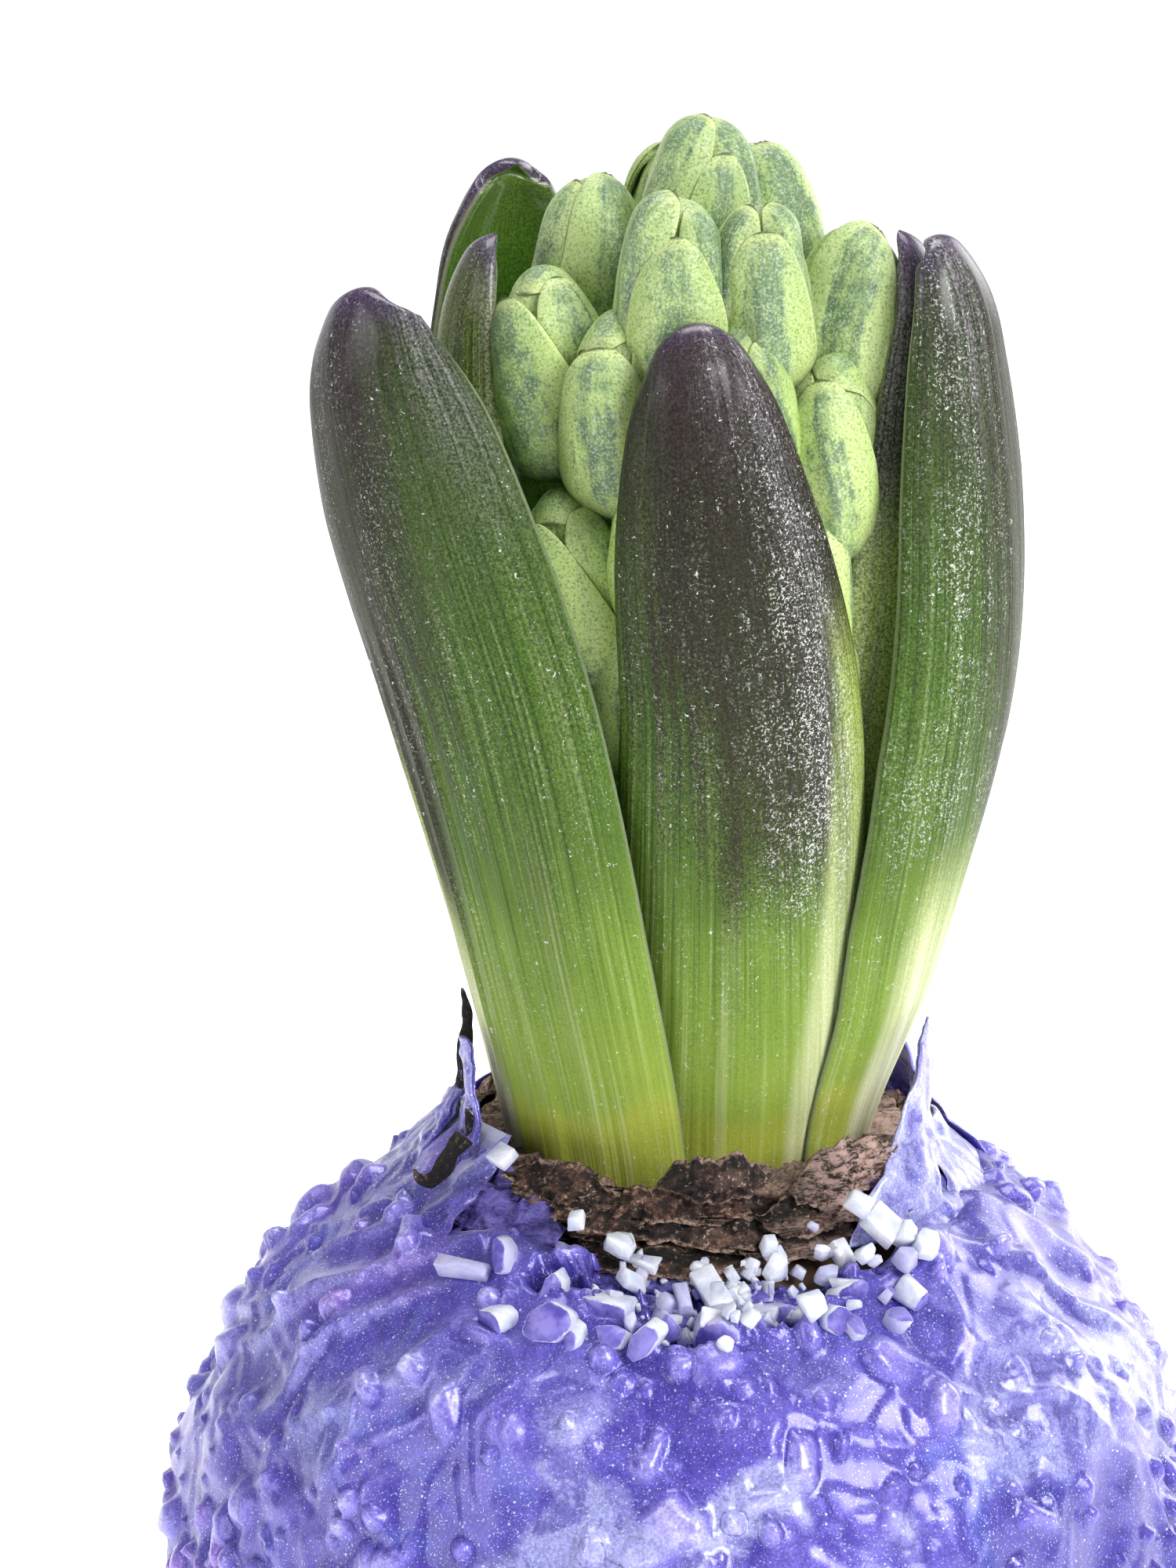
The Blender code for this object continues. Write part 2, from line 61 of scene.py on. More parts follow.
cad_low, cad_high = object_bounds()

# The wax ball, as the frame has it.
BODY_RADIUS = 32.2
BODY_CENTRE = 27.6  # height of its middle
SHOULDER = 0.035  # how much fuller than a ball it is at 45 degrees
MOUTH_RADIUS = 18.6
MOUTH_TEAR = 1.5
LIP_THICKNESS = 1.05
PIT_DEPTH = 2.2
WELL_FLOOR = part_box("flower_head")[0].z / MM
ALMOST_END = 0.9995  # the fraction of a curve at which a skin along it stops, so that its direction is sure there
BOX_MARGIN = 0.01
OFF_GRID = 137.31  # moves noise, so that nothing lies on the corners of its grid by chance


# ---------------------------------------------------------------- numbers and noise

def smooth_step(x):
    x = np.clip(x, 0, 1)
    return x * x * (3 - 2 * x)


def normalized(vectors):
    return vectors / np.linalg.norm(vectors, axis=-1, keepdims=True)


def spread(values, along):
    """Values given at even steps, read at the fractions along."""
    return np.interp(along, np.linspace(0, 1, len(values)), values)


def bell(offset, width):
    """A bell of height 1 round an offset of 0."""
    return np.exp(-((offset / width) ** 2))


def curve_through(points, along):
    """A smooth curve through points at the fractions along: cubic Hermite pieces over chord length."""
    points = np.asarray(points, float)
    chord = np.linalg.norm(np.diff(points, axis=0), axis=1)
    knot = np.concatenate([[0], np.cumsum(chord)]) / chord.sum()
    slope = np.empty_like(points)
    slope[1:-1] = (points[2:] - points[:-2]) / (knot[2:] - knot[:-2])[:, None]
    slope[0] = 2 * (points[1] - points[0]) / (knot[1] - knot[0]) - slope[1]
    slope[-1] = 2 * (points[-1] - points[-2]) / (knot[-1] - knot[-2]) - slope[-2]
    piece = np.clip(np.searchsorted(knot, along, side="right") - 1, 0, len(knot) - 2)
    span = (knot[piece + 1] - knot[piece])[:, None]
    x = ((along - knot[piece]) / span[:, 0])[:, None]
    return (
        (2 * x**3 - 3 * x**2 + 1) * points[piece]
        + (x**3 - 2 * x**2 + x) * span * slope[piece]
        + (3 * x**2 - 2 * x**3) * points[piece + 1]
        + (x**3 - x**2) * span * slope[piece + 1]
    )


def lattice(cell, seed):
    """An even random number from 0 to 1 for each whole-number cell, from its coordinates' mixed bits."""
    mask = 0xFFFFFFFF
    mixed = (cell[..., 0] * 73856093) ^ (cell[..., 1] * 19349663) ^ (cell[..., 2] * 83492791) ^ (seed * 26544357)
    mixed &= mask
    for _ in range(2):
        mixed = (((mixed >> 16) ^ mixed) * 0x45D9F3B) & mask
    return ((mixed >> 16) ^ mixed) / mask


def noise(points, size, seed=0):
    """Smooth noise between -1 and 1 with features of that size: a random slope at each corner of a cubic grid,
    times the offset from that corner, blended over the cube."""
    where = np.asarray(points, float) / size + OFF_GRID
    cell = np.floor(where)
    inside = where - cell
    cell = cell.astype(np.int64)
    fade = inside**3 * (inside * (inside * 6 - 15) + 10)
    total = np.zeros(where.shape[:-1])
    for corner in np.ndindex(2, 2, 2):
        corner = np.array(corner)
        weight = np.prod(np.where(corner == 1, fade, 1 - fade), axis=-1)
        slope = np.stack([lattice(cell + corner, seed + turn) for turn in (11, 223, 4047)], axis=-1) * 2 - 1
        total += weight * np.sum(slope * (inside - corner), axis=-1)
    return total * 1.5


def fractal(points, size, octaves, seed=0):
    """Noise of that size with finer and fainter noise on it: each octave has half the size and half the height."""
    return sum(noise(points, size / 2**k, seed + 31 * k) / 2**k for k in range(octaves))


def noise_vector(points, size, seed):
    """Three noises as a vector."""
    return np.stack([noise(points, size, seed + axis) for axis in range(3)], axis=-1)


def torn(turn, seed):
    """An uneven line between -1 and 1 round the axis: four sine waves."""
    waves = ((3, 0.35), (5, 0.25), (8, 0.2), (13, 0.2))
    return sum(size * np.sin(count * turn + seed * (count + 1.7)) for count, size in waves)


def round_axis(reach, turn, height):
    """The point at a reach from the axis, a turn in radians from the front and a height."""
    return np.stack(np.broadcast_arrays(reach * np.sin(turn), -reach * np.cos(turn), height), axis=-1)


def place(reach, azimuth, height):
    return round_axis(reach, np.radians(azimuth), height)


# ---------------------------------------------------------------- skins and pieces

def loft(rings, **layers):
    """A closed skin through rings of points: each ring is joined to the next, and each end is closed by a fan to
    the middle of its ring. Layers are numbers for each point."""
    rows, around = rings.shape[:2]
    index = np.arange(rows * around).reshape(rows, around)
    beside = np.roll(index, -1, axis=1)
    quads = np.stack([index[:-1], beside[:-1], beside[1:], index[1:]], axis=-1).reshape(-1, 4)
    first, last = rows * around, rows * around + 1
    fans = np.concatenate([
        np.stack([beside[0], index[0], np.full(around, first)], axis=-1),
        np.stack([index[-1], beside[-1], np.full(around, last)], axis=-1),
    ])
    points = np.concatenate([rings.reshape(-1, 3), rings[:1].mean(axis=1), rings[-1:].mean(axis=1)])
    kept = {}
    for name, values in layers.items():
        values = np.broadcast_to(values, (rows, around))
        kept[name] = np.concatenate([values.ravel(), [values[0].mean()], [values[-1].mean()]])
    return {"points": points, "quads": quads, "fans": fans, "layers": kept}


def sheet_rings(centre, turn, half_thickness):
    """Rings round a sheet that stands round the axis: along its outer side and back along its inner one."""
    offset = half_thickness[..., None] * round_axis(1, turn, 0)
    return np.concatenate([centre + offset, (centre - offset)[:, ::-1]], axis=1)


def gather(skins):
    """Several skins as one, with the same layers."""
    offsets = np.cumsum([0] + [len(skin["points"]) for skin in skins[:-1]])
    return {
        "points": np.concatenate([skin["points"] for skin in skins]),
        "quads": np.concatenate([skin["quads"] + start for skin, start in zip(skins, offsets)]),
        "fans": np.concatenate([skin["fans"] + start for skin, start in zip(skins, offsets)]),
        "layers": {name: np.concatenate([skin["layers"][name] for skin in skins]) for name in skins[0]["layers"]},
    }


def keep_in_box(points):
    """Holds points inside the frame's box."""
    return np.clip(points, np.array(cad_low) / MM + BOX_MARGIN, np.array(cad_high) / MM - BOX_MARGIN)


def show(made):
    """Puts a made object in the scene."""
    bpy.context.scene.collection.objects.link(made)
    return made


def make_piece(name, skin, material, slot, *replaced):
    """A skin as an object at the origin that rides on the frame."""
    mesh = bpy.data.meshes.new(name)
    points = keep_in_box(skin["points"]) * MM
    corners = np.concatenate([skin["quads"].ravel(), skin["fans"].ravel()]).astype(np.int32)
    sizes = np.concatenate([np.full(len(skin["quads"]), 4), np.full(len(skin["fans"]), 3)])
    starts = np.concatenate([[0], np.cumsum(sizes)[:-1]]).astype(np.int32)
    mesh.vertices.add(len(points))
    mesh.vertices.foreach_set("co", points.astype(np.float32).ravel())
    mesh.loops.add(len(corners))
    mesh.loops.foreach_set("vertex_index", corners)
    mesh.polygons.add(len(sizes))
    mesh.polygons.foreach_set("loop_start", starts)
    for layer, values in skin["layers"].items():
        attribute = mesh.attributes.new(layer, "FLOAT", "POINT")
        attribute.data.foreach_set("value", np.asarray(values, np.float32))
    mesh.update(calc_edges=True)
    mesh.validate()
    mesh.shade_smooth()
    mesh.materials.append(material)
    made = show(bpy.data.objects.new(name, mesh))
    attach(made, "root")
    if replaced:
        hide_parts(*replaced)


# ---------------------------------------------------------------- material building

def srgb(red, green, blue):
    """A colour given as 0 to 255 on screen, as the linear colour that shaders take."""
    return tuple(((c / 255 + 0.055) / 1.055) ** 2.4 if c > 10 else c / 255 / 12.92 for c in (red, green, blue)) + (1,)


class Finish:
    """A material under construction: each method adds one node and returns its output."""

    def __init__(self, name):
        self.material = bpy.data.materials.new(name)
        self.material.use_nodes = True
        self.nodes = self.material.node_tree.nodes
        self.links = self.material.node_tree.links
        self.nodes.clear()
        self.object = self.add("ShaderNodeTexCoord").outputs["Object"]

    def add(self, kind, inputs=(), **settings):
        node = self.nodes.new(kind)
        for name, value in settings.items():
            setattr(node, name, value)
        for name, value in dict(inputs).items():
            if isinstance(value, bpy.types.NodeSocket):
                self.links.new(value, node.inputs[name])
            else:
                node.inputs[name].default_value = value
        return node

    def math(self, operation, *values, clamp=False):
        return self.add("ShaderNodeMath", enumerate(values), operation=operation, use_clamp=clamp).outputs[0]

    def plus(self, first, *others):
        for other in others:
            first = self.math("ADD", first, other)
        return first

    def times(self, first, *others):
        for other in others:
            first = self.math("MULTIPLY", first, other)
        return first

    def off(self, value, size):
        """How far a value is from a half, times a size."""
        return self.times(self.math("SUBTRACT", value, 0.5), size)

    def away(self, value):
        """How far a value is from nought."""
        return self.math("ABSOLUTE", value)

    def larger(self, first, second):
        return self.math("MAXIMUM", first, second)

    def layer(self, name):
        return self.add("ShaderNodeAttribute", attribute_name=name).outputs["Fac"]

    def vector(self, x, y, z=0.0):
        return self.add("ShaderNodeCombineXYZ", {"X": x, "Y": y, "Z": z}).outputs[0]

    def noise(self, where, scale, detail=2.0, roughness=0.5, warp=0.0):
        inputs = {"Vector": where, "Scale": scale, "Detail": detail, "Roughness": roughness, "Distortion": warp}
        return self.add("ShaderNodeTexNoise", inputs).outputs[0]

    def cells(self, where, scale, output="Distance"):
        return self.add("ShaderNodeTexVoronoi", {"Vector": where, "Scale": scale}).outputs[output]

    def remap(self, value, low, high, to_low=0.0, to_high=1.0, smooth=True):
        inputs = {"Value": value, "From Min": low, "From Max": high, "To Min": to_low, "To Max": to_high}
        kind = "SMOOTHSTEP" if smooth else "LINEAR"
        return self.add("ShaderNodeMapRange", inputs, interpolation_type=kind).outputs[0]

    def blend(self, share, under, over, mode="MIX"):
        inputs = {0: share, 6: under, 7: over}
        return self.add("ShaderNodeMix", inputs, data_type="RGBA", blend_type=mode).outputs[2]

    def tint(self, base, share, *color):
        """A colour laid over base."""
        return self.blend(share, base, srgb(*color))

    def dimmed(self, base, gain, share=1.0):
        """Base times a grey."""
        return self.blend(share, base, self.vector(gain, gain, gain), "MULTIPLY")

    def ramp(self, value, *stops):
        """Colours that follow a value. A stop is its position and its colour."""
        node = self.add("ShaderNodeValToRGB", {"Fac": value})
        elements = node.color_ramp.elements
        while len(elements) < len(stops):
            elements.new(0.5)
        for element, (position, *color) in zip(elements, stops):
            element.position = position
            element.color = srgb(*color)
        return node.outputs[0]

    def bump(self, height, distance, strength=1.0, under=None):
        inputs = {"Height": height, "Distance": distance * MM, "Strength": strength}
        if under is not None:
            inputs["Normal"] = under
        return self.add("ShaderNodeBump", inputs).outputs[0]

    def shade(self, **inputs):
        shader = self.add("ShaderNodeBsdfPrincipled", {name.replace("_", " "): v for name, v in inputs.items()})
        output = self.add("ShaderNodeOutputMaterial")
        self.links.new(shader.outputs[0], output.inputs[0])
        return self.material


# ---------------------------------------------------------------- the wax

def wax_finish():
    """Pearly wax: violet-blue, painted deep violet in the hollows as shade and lilac to white on the lumps as
    highlight, with pale pearl pools that are partly a painted pearly reflection, blue and pink clouds, dark wrinkles
    round some grains, a fine grain and a glitter of painted glints."""
    f = Finish("pearl_wax")
    lump = f.layer("lump")
    cloud = f.noise(f.object, 120, 4, 0.55, 1.2)
    streak = f.noise(f.object, 300, 4, 0.6, 1.6)
    # lump is painted shade and light: deep violet in the hollows, lilac to white as a painted highlight on raised wax
    base = f.ramp(f.plus(f.times(lump, 0.6), f.times(streak, 0.4)), (0.0, 46, 34, 122), (0.28, 76, 64, 168),
                  (0.5, 104, 92, 194), (0.72, 140, 130, 216), (0.95, 206, 204, 242))
    base = f.tint(base, f.times(f.remap(cloud, 0.52, 0.7), 0.45), 88, 104, 202)
    pink = f.remap(f.noise(f.object, 75, 2, 0.5, 0.8), 0.6, 0.74)
    base = f.tint(base, f.times(pink, f.remap(lump, 0.1, 0.6), 0.42), 166, 112, 200)
    # pale pearl pools: swirls of pearl in the wax, and a painted pearly reflection
    pool = f.times(f.layer("pearl"), f.remap(streak, 0.4, 0.54, 0.35, 1.0))
    base = f.tint(base, f.times(pool, 0.8), 188, 192, 238)
    wrinkle = f.math("SUBTRACT", f.layer("rim"), f.math("MULTIPLY_ADD", streak, 0.3, 1.1))
    wrinkle = f.remap(f.away(wrinkle), 0.09, 0.03)
    base = f.tint(base, f.times(wrinkle, 0.35), 52, 42, 128)
    grain = f.noise(f.object, 5200, 2, 0.7)
    base = f.dimmed(base, f.remap(grain, 0.34, 0.66, 0.78, 1.26))
    # painted glints: white dots that stand in for the sparkle of the flakes
    glint = f.remap(f.noise(f.object, 8200, 1, 0.5), 0.64, 0.70)
    glint = f.times(glint, f.remap(cloud, 0.3, 0.6, 0.35, 0.9))
    fleck = f.add("ShaderNodeSeparateColor", {0: f.cells(f.object, 3300, "Color")}).outputs[0]
    fleck = f.times(f.remap(fleck, 0.94, 0.96), f.remap(f.cells(f.object, 3300), 0.32, 0.2))
    base = f.tint(base, f.times(f.larger(glint, fleck), 0.75), 222, 230, 255)
    ripple = f.bump(f.noise(f.object, 900, 4, 0.55, 0.6), 0.08, 0.6)
    ripple = f.bump(grain, 0.03, 0.35, ripple)
    ripple = f.bump(wrinkle, 0.1, 0.6, ripple)
    return f.shade(Base_Color=base, Roughness=f.remap(streak, 0.3, 0.7, 0.30, 0.46), Normal=ripple, Metallic=0.2,
                   Specular_IOR_Level=0.6, Coat_Weight=0.6, Coat_Roughness=0.16, Sheen_Weight=0.25,
                   Sheen_Roughness=0.3, Subsurface_Weight=0.1, Subsurface_Radius=(0.9, 0.7, 1.3),
                   Subsurface_Scale=0.0010)


def wax_lumps(directions, count, seed, scale, sparse):
    """(height, distance to a rim) of the grains under the wax. Each lies in the plane that touches the ball at its
    centre, where d = (|x/a|^p + |y/b|^p)^(1/p), and stands h (0.75 (1 - d^2.4)^0.6 + 0.25 (1 - smooth step of d
    from 0.5 to 1.4)), tilted along x. A third of them have a wrinkle round them, where the second number is d."""
    draw = np.random.default_rng(seed)
    centres = normalized(draw.normal(size=(count, 3)))
    azimuth, polar = seen_angles(centres)
    keep = (noise(centres * BODY_RADIUS, 9, seed) > sparse) & (calm(azimuth, polar) < draw.random(count))
    height, ring = np.zeros(len(directions)), np.full(len(directions), 3.0)
    for centre in centres[keep]:
        kind = draw.random()
        long, wide, high, power = draw.uniform(0.5, 1.0), draw.uniform(0.75, 1.0), draw.uniform(0.5, 0.95), 2.2
        if kind < 0.16:
            long, wide, high, power = draw.uniform(1.2, 2.0), draw.uniform(0.3, 0.45), draw.uniform(0.5, 0.8), 3.4
        elif kind < 0.46:
            long, wide, high, power = draw.uniform(0.9, 1.9), draw.uniform(0.55, 0.9), draw.uniform(0.6, 1.1), 3.2
        long, high = long * scale, high * scale
        tilt, spin = draw.uniform(-0.35, 0.35), draw.uniform(0, math.pi)
        near = np.nonzero(directions @ centre > math.cos(1.6 * long / BODY_RADIUS))[0]
        if len(near) == 0:
            continue
        first = normalized(np.cross(centre, [0.31, 0.83, 0.46]))
        second = np.cross(centre, first)
        x_axis = first * math.cos(spin) + second * math.sin(spin)
        y_axis = np.cross(centre, x_axis)
        x = directions[near] @ x_axis * BODY_RADIUS / long
        y = directions[near] @ y_axis * BODY_RADIUS / (long * wide)
        rim = (np.abs(x) ** power + np.abs(y) ** power) ** (1 / power)
        dome = 0.75 * np.clip(1 - rim**2.4, 0, 1) ** 0.6 + 0.25 * (1 - smooth_step((rim - 0.5) / 0.9))
        height[near] = (height[near] ** 3 + np.maximum(high * dome * (1 + tilt * x), 0) ** 3) ** (1 / 3)
        if kind > 0.66:
            ring[near] = np.minimum(ring[near], rim)
    return height, ring


def seen_angles(directions):
    """(azimuth in degrees, angle from straight up) of directions."""
    azimuth = np.degrees(np.arctan2(directions[..., 0], -directions[..., 1]))
    return azimuth, np.arccos(np.clip(directions[..., 2], -1, 1))


def on_ball(polar, turn):
    """The direction at an angle from straight up and a turn round the axis."""
    level = np.sin(polar)
    return np.stack(np.broadcast_arrays(level * np.cos(turn), level * np.sin(turn), np.cos(polar)), axis=-1)


def window(azimuth, polar, at_azimuth, at_polar, wide, high):
    """A bell of height 1 round a place on the ball."""
    turn = (azimuth - at_azimuth + 180) % 360 - 180
    return np.exp(-((turn / wide) ** 2) - ((polar - at_polar) / high) ** 2)


def calm(azimuth, polar):
    """How free of grains the wax is, from 0 to 1: round the neck's left and on the right shoulder."""
    left = window(azimuth, polar, -52, 0.72, 30, 0.14)
    return np.clip(0.9 * left + 0.85 * window(azimuth, polar, 62, 0.86, 26, 0.22), 0, 1)


def runs_of_wax(azimuth, polar, spot, slant, gap, size, seed):
    """Sharp-crested runs, from 0 to 1, that climb the ball by slant as they go round it, gap mm apart, bent by
    noise of that size."""
    phase = (polar + np.radians(azimuth) * slant) * BODY_RADIUS / gap + 0.9 * noise(spot, size, seed)
    return (1 - np.abs(np.sin(phase * math.pi))) ** 1.4


def wax_parts(directions):
    """(distance from the ball's centre to the wax, relief shading, pearl and sheen, rim of the nearest wrinkled grain)
    in each direction, the middle two from 0 to 1. The relief shading is painted light and shade: high on raised
    wax, low in its hollows, raised at the front and lowered at the sides. The pearl is pale swirls with a painted
    pearly reflection. The distance is the full-shouldered ball of the frame with its broad relief, plus slow folds,
    the edges of wax that ran over wax, long runs on both shoulders, grains and a fine wrinkle."""
    x, y, z = directions.T
    azimuth, polar = seen_angles(directions)
    broad = np.sin(5.1 * x + 1.3 * z + 0.4) * np.sin(4.3 * y - 2.2 * z + 1.1)
    fine = np.sin(13 * x + 5 * y + 1) * np.sin(14 * z - 6 * y + 0.6) * np.sin(12 * y + 4 * x + 2)
    reach = BODY_RADIUS * (1 + SHOULDER * np.sin(2 * polar) ** 2) + 0.27 * broad + 0.6 * fine - 0.6
    spot = directions * BODY_RADIUS
    warped = spot + 2.2 * noise_vector(spot, 6, 71)
    fold = np.maximum(1 - np.abs(noise(warped, 12, 5)) * 2.6, 0) ** 2
    layer = noise(warped, 7.5, 9)
    edges = sum(smooth_step((layer - level) / 0.05) for level in (-0.3, 0.0, 0.25))
    runs = window(azimuth, polar, -64, 0.88, 30, 0.26) * runs_of_wax(azimuth, polar, spot, 0.75, 5.4, 8, 14)
    right = window(azimuth, polar, 62, 0.86, 30, 0.26)
    flows = right * runs_of_wax(azimuth, polar, spot, -0.7, 6.5, 9, 24)
    grains, ring = wax_lumps(directions, 1000, 3, 1.0, -0.2)
    small, small_ring = wax_lumps(directions, 1800, 8, 0.5, -0.1)
    grains, ring = (grains**3 + small**3) ** (1 / 3), np.minimum(ring, small_ring)
    wrinkle = fractal(warped, 1.7, 2, 15)
    reach += 0.5 * fold + 0.15 * edges + 0.75 * runs + 0.7 * flows + grains + 0.06 * wrinkle
    # Painted light and shade: high on the grains, folds and runs, low in the hollows between them
    lump = 0.06 + 0.85 * grains + 0.2 * fold + 0.06 * edges + 0.4 * runs + 0.3 * flows + 0.1 * wrinkle
    # Painted light on the front of the ball, and painted shade on its sides and right shoulder
    pale_front = window(azimuth, polar, 0, 1.35, 26, 0.4)
    deep_left = window(azimuth, polar, -60, 1.4, 34, 0.45)
    deep_right = window(azimuth, polar, 52, 1.4, 34, 0.45)
    lump += 0.1 * pale_front - 0.16 * deep_left - 0.3 * deep_right
    lump = np.clip(lump - 0.1 * right, 0, 1)
    swirled = warped + 1.6 * noise_vector(warped, 2.6, 74)
    # Pearl pools, partly a painted reflection, kept off the left side and the shaded right
    pools = smooth_step((noise(swirled, 8, 37) - 0.05) / 0.16) * smooth_step((polar - 0.75) / 0.3)
    pools = pools * (1 - 0.85 * window(azimuth, polar, -75, 1.2, 45, 0.8)) * (1 - 0.6 * deep_right)
    pearl = np.clip(0.8 * pools + 0.5 * runs + right * (0.05 + 0.65 * flows), 0, 1)
    return reach, lump, pearl, ring


def wax_pit(turn, polar):
    """Depth from 0 to 1 of the torn place at the front of the mouth, where the crumbs lie: an ellipse 36 degrees
    from straight up, about 50 degrees wide and 14 high, with an uneven edge."""
    azimuth = np.degrees(np.arctan2(np.sin(turn + math.pi / 2), np.cos(turn + math.pi / 2)))
    spot = np.stack([azimuth / 9, np.degrees(polar) / 3.4, 0 * polar], axis=-1)
    edge = ((azimuth - 3) / 30) ** 2 + ((np.degrees(polar) - 36) / 8.5) ** 2 + 0.6 * fractal(spot, 1.0, 3, 8)
    return 1 - smooth_step((edge - 0.62) / 0.18)


def wax_skin():
    """The coat: rings from the pole of its inner wall up to the torn lip, over it and down the lumpy outside to
    the flat foot, finer at the front and top. Outside, a ring's points lie at the distance of wax_parts, less the
    pit at the front."""
    around, inner_rows, lip_rows, outer_rows, foot_rows = 520, 8, 5, 158, 14
    knee = 2.62  # the angle from straight up below which the rows are evenly spaced
    inner_radius, inner_floor = BODY_RADIUS - 2.6, 1.2 - BODY_CENTRE
    even = np.linspace(0, 2 * math.pi, around, endpoint=False)[None, :]
    turn = even - 0.4 * np.sin(even + math.pi / 2)
    ragged = 0.35 * fractal(np.stack([10 * np.cos(turn), 10 * np.sin(turn), 0 * turn], -1), 2.4, 3, 4)
    mouth = np.arcsin((MOUTH_RADIUS + MOUTH_TEAR * torn(turn, 1) + ragged - 0.6) / BODY_RADIUS)
    down = np.linspace(0, 1, outer_rows)[:, None]
    down = 0.55 * down + 0.45 * down**2
    polar = np.concatenate([
        mouth + (knee - mouth) * down,
        knee + (math.pi - 0.01 - knee) * np.linspace(0, 1, foot_rows + 1)[1:, None] + 0 * turn,
    ])
    directions = on_ball(polar, turn)
    reach, lump, pearl, ring = (values.reshape(polar.shape) for values in wax_parts(directions.reshape(-1, 3)))
    pit = wax_pit(turn + 0 * polar, polar)
    reach = reach - PIT_DEPTH * pit
    # painted shade in the torn pit
    lump = np.maximum(lump * (1 - pit) - 0.6 * pit, 0)
    pearl = pearl * (1 - pit)
    lip = smooth_step((polar - mouth) / 0.035)
    outside = directions * (reach - LIP_THICKNESS * 0.5 * (1 - lip))[..., None]
    low = outside[..., 2] < -BODY_CENTRE
    outside = np.where(low[..., None], outside * (-BODY_CENTRE / np.minimum(outside[..., 2], -1))[..., None], outside)
    up = np.linspace(1, 0, inner_rows)[:, None]
    inner = on_ball(mouth + (math.pi - 0.02 - mouth) * up, turn) * inner_radius
    inner[..., 2] = np.maximum(inner[..., 2], inner_floor)
    inner[-1] = directions[0] * (reach[0] - LIP_THICKNESS * 1.6)[:, None]
    share = np.linspace(0, 1, lip_rows + 2)[1:-1, None, None]
    bulge = 0.18 * np.sin(share * math.pi)
    lip_rings = inner[-1] * (1 - share) + outside[0] * share - normalized(outside[0] * (1, 1, 0)) * bulge
    rings = np.concatenate([inner, lip_rings, outside]) + (0, 0, BODY_CENTRE)
    plain = np.zeros((inner_rows + lip_rows, around))
    return loft(rings, lump=np.concatenate([plain + 0.3, lump]), pearl=np.concatenate([plain, pearl]),
                rim=np.concatenate([plain + 3, ring]))


def wax_surface(reach, azimuth):
    """The point on the outside of the wax over a place that far from the axis, and the way out from it."""
    turn = math.radians(azimuth) - math.pi / 2
    polar = math.asin(min(reach / (BODY_RADIUS * 1.03), 1))
    direction = on_ball(polar, turn)
    distance = wax_parts(direction[None])[0] - PIT_DEPTH * wax_pit(np.array([turn]), np.array([polar]))
    return direction * distance + (0, 0, BODY_CENTRE), direction


WAX_FLAPS = (
    # width in degrees, taper, how ragged, how pale, which edge is white (-1 left, 1 right), the places that it
    # rises through
    (84, 0.1, 0.2, 0.0, 0, ((20.8, -92, 51.4), (18.6, -92, 54.6), (15.9, -90, 57.2), (14.2, -89, 59.6))),
    (17, 0.35, 0.05, 0.1, -1, ((16.4, -70, 55.6), (14.7, -70, 58.2), (14.1, -71, 61.0), (14.5, -72, 64.6))),
    (14, 0.6, 0.06, 0.1, 0, ((17.0, -86, 55.8), (15.6, -83, 58.2), (14.3, -80, 60.4), (14.1, -79, 62.8))),
    (30, 0.3, 0.12, 0.2, 0, ((20.0, -146, 52.2), (18.0, -146, 56.0), (15.4, -146, 59.6), (14.6, -146, 63.0))),
    (26, 0.45, 0.0, 0.8, -1, ((17.8, 46, 54.4), (16.8, 51, 57.2), (15.7, 60, 60.1), (15.4, 67, 62.7),
                              (15.3, 74, 65.6))),
    (44, 0.2, 0.02, 0.5, 0, ((18.2, 84, 54.2), (17.0, 85, 56.0), (15.9, 86, 57.4), (15.2, 87, 58.8))),
    (36, 0.2, 0.12, 0.3, 0, ((19.6, 62, 52.8), (18.0, 62, 54.8), (16.8, 62, 55.8), (16.0, 62, 56.6))),
    (40, 0.3, 0.12, 0.3, 0, ((20.0, 118, 52.4), (17.8, 118, 55.8), (15.6, 118, 58.6), (14.6, 118, 61.5))),
)


def flap_skin(width, taper, ragged, pale, white, path):
    """A torn flap: a thin sheet whose points run up its path, spread over a width that narrows upwards by the
    taper, with a ragged top, dents, and edges as thin as sqrt(1 - across^8)."""
    rows, columns = 60, 48
    across = np.linspace(-1, 1, columns)[None, :]
    up = np.linspace(0, 1, rows)[:, None]
    foot = path[0][1]
    tears = noise(np.stack([across * 5, 0 * across, 0 * across], -1), 0.7, abs(foot))
    edge = ragged * (1.3 * torn(2.4 * np.radians(foot + width / 2 * across), foot) + 0.9 * tears)
    at = np.clip((1 - 0.35 * np.abs(across) ** 2.5 + edge) * up, 0, ALMOST_END)
    reach, azimuth, height = np.moveaxis(curve_through(path, at.ravel()).reshape(*at.shape, 3), -1, 0)
    turn = np.radians(azimuth + width / 2 * across * (1 - taper * smooth_step(up)) + 2.5 * np.sin(2.6 * up))
    flat = round_axis(reach, turn, height)
    dents = 0.6 * noise(flat, 3.0, 21) + 0.45 * noise(flat, 1.7, 22) + 0.2 * noise(flat, 0.8, 23)
    centre = round_axis(reach + dents * (1 - 0.6 * pale), turn, height)
    thin = 0.3 * np.sqrt(np.clip(1 - np.abs(across) ** 8, 0, 1)) * (1 - 0.4 * up)
    thin = thin * np.sqrt(np.clip((1 - up) / 0.04, 0.05, 1))
    front = np.clip(0.35 * pale + 0.5 * up**4 + 0.8 * dents, 0, 1)
    rim = smooth_step((white * across - 0.5) / 0.3) + 0 * up
    front, pearl = np.maximum(front, 0.8 * rim), np.clip(0.8 * pale + 0.6 * up**5 + rim, 0, 1)
    return loft(sheet_rings(centre, turn, thin), lump=np.concatenate([front, 0.1 + 0 * front], axis=1),
                pearl=np.concatenate([pearl, 0.3 * pale + 0 * pearl], axis=1))


# ---------------------------------------------------------------- leaves

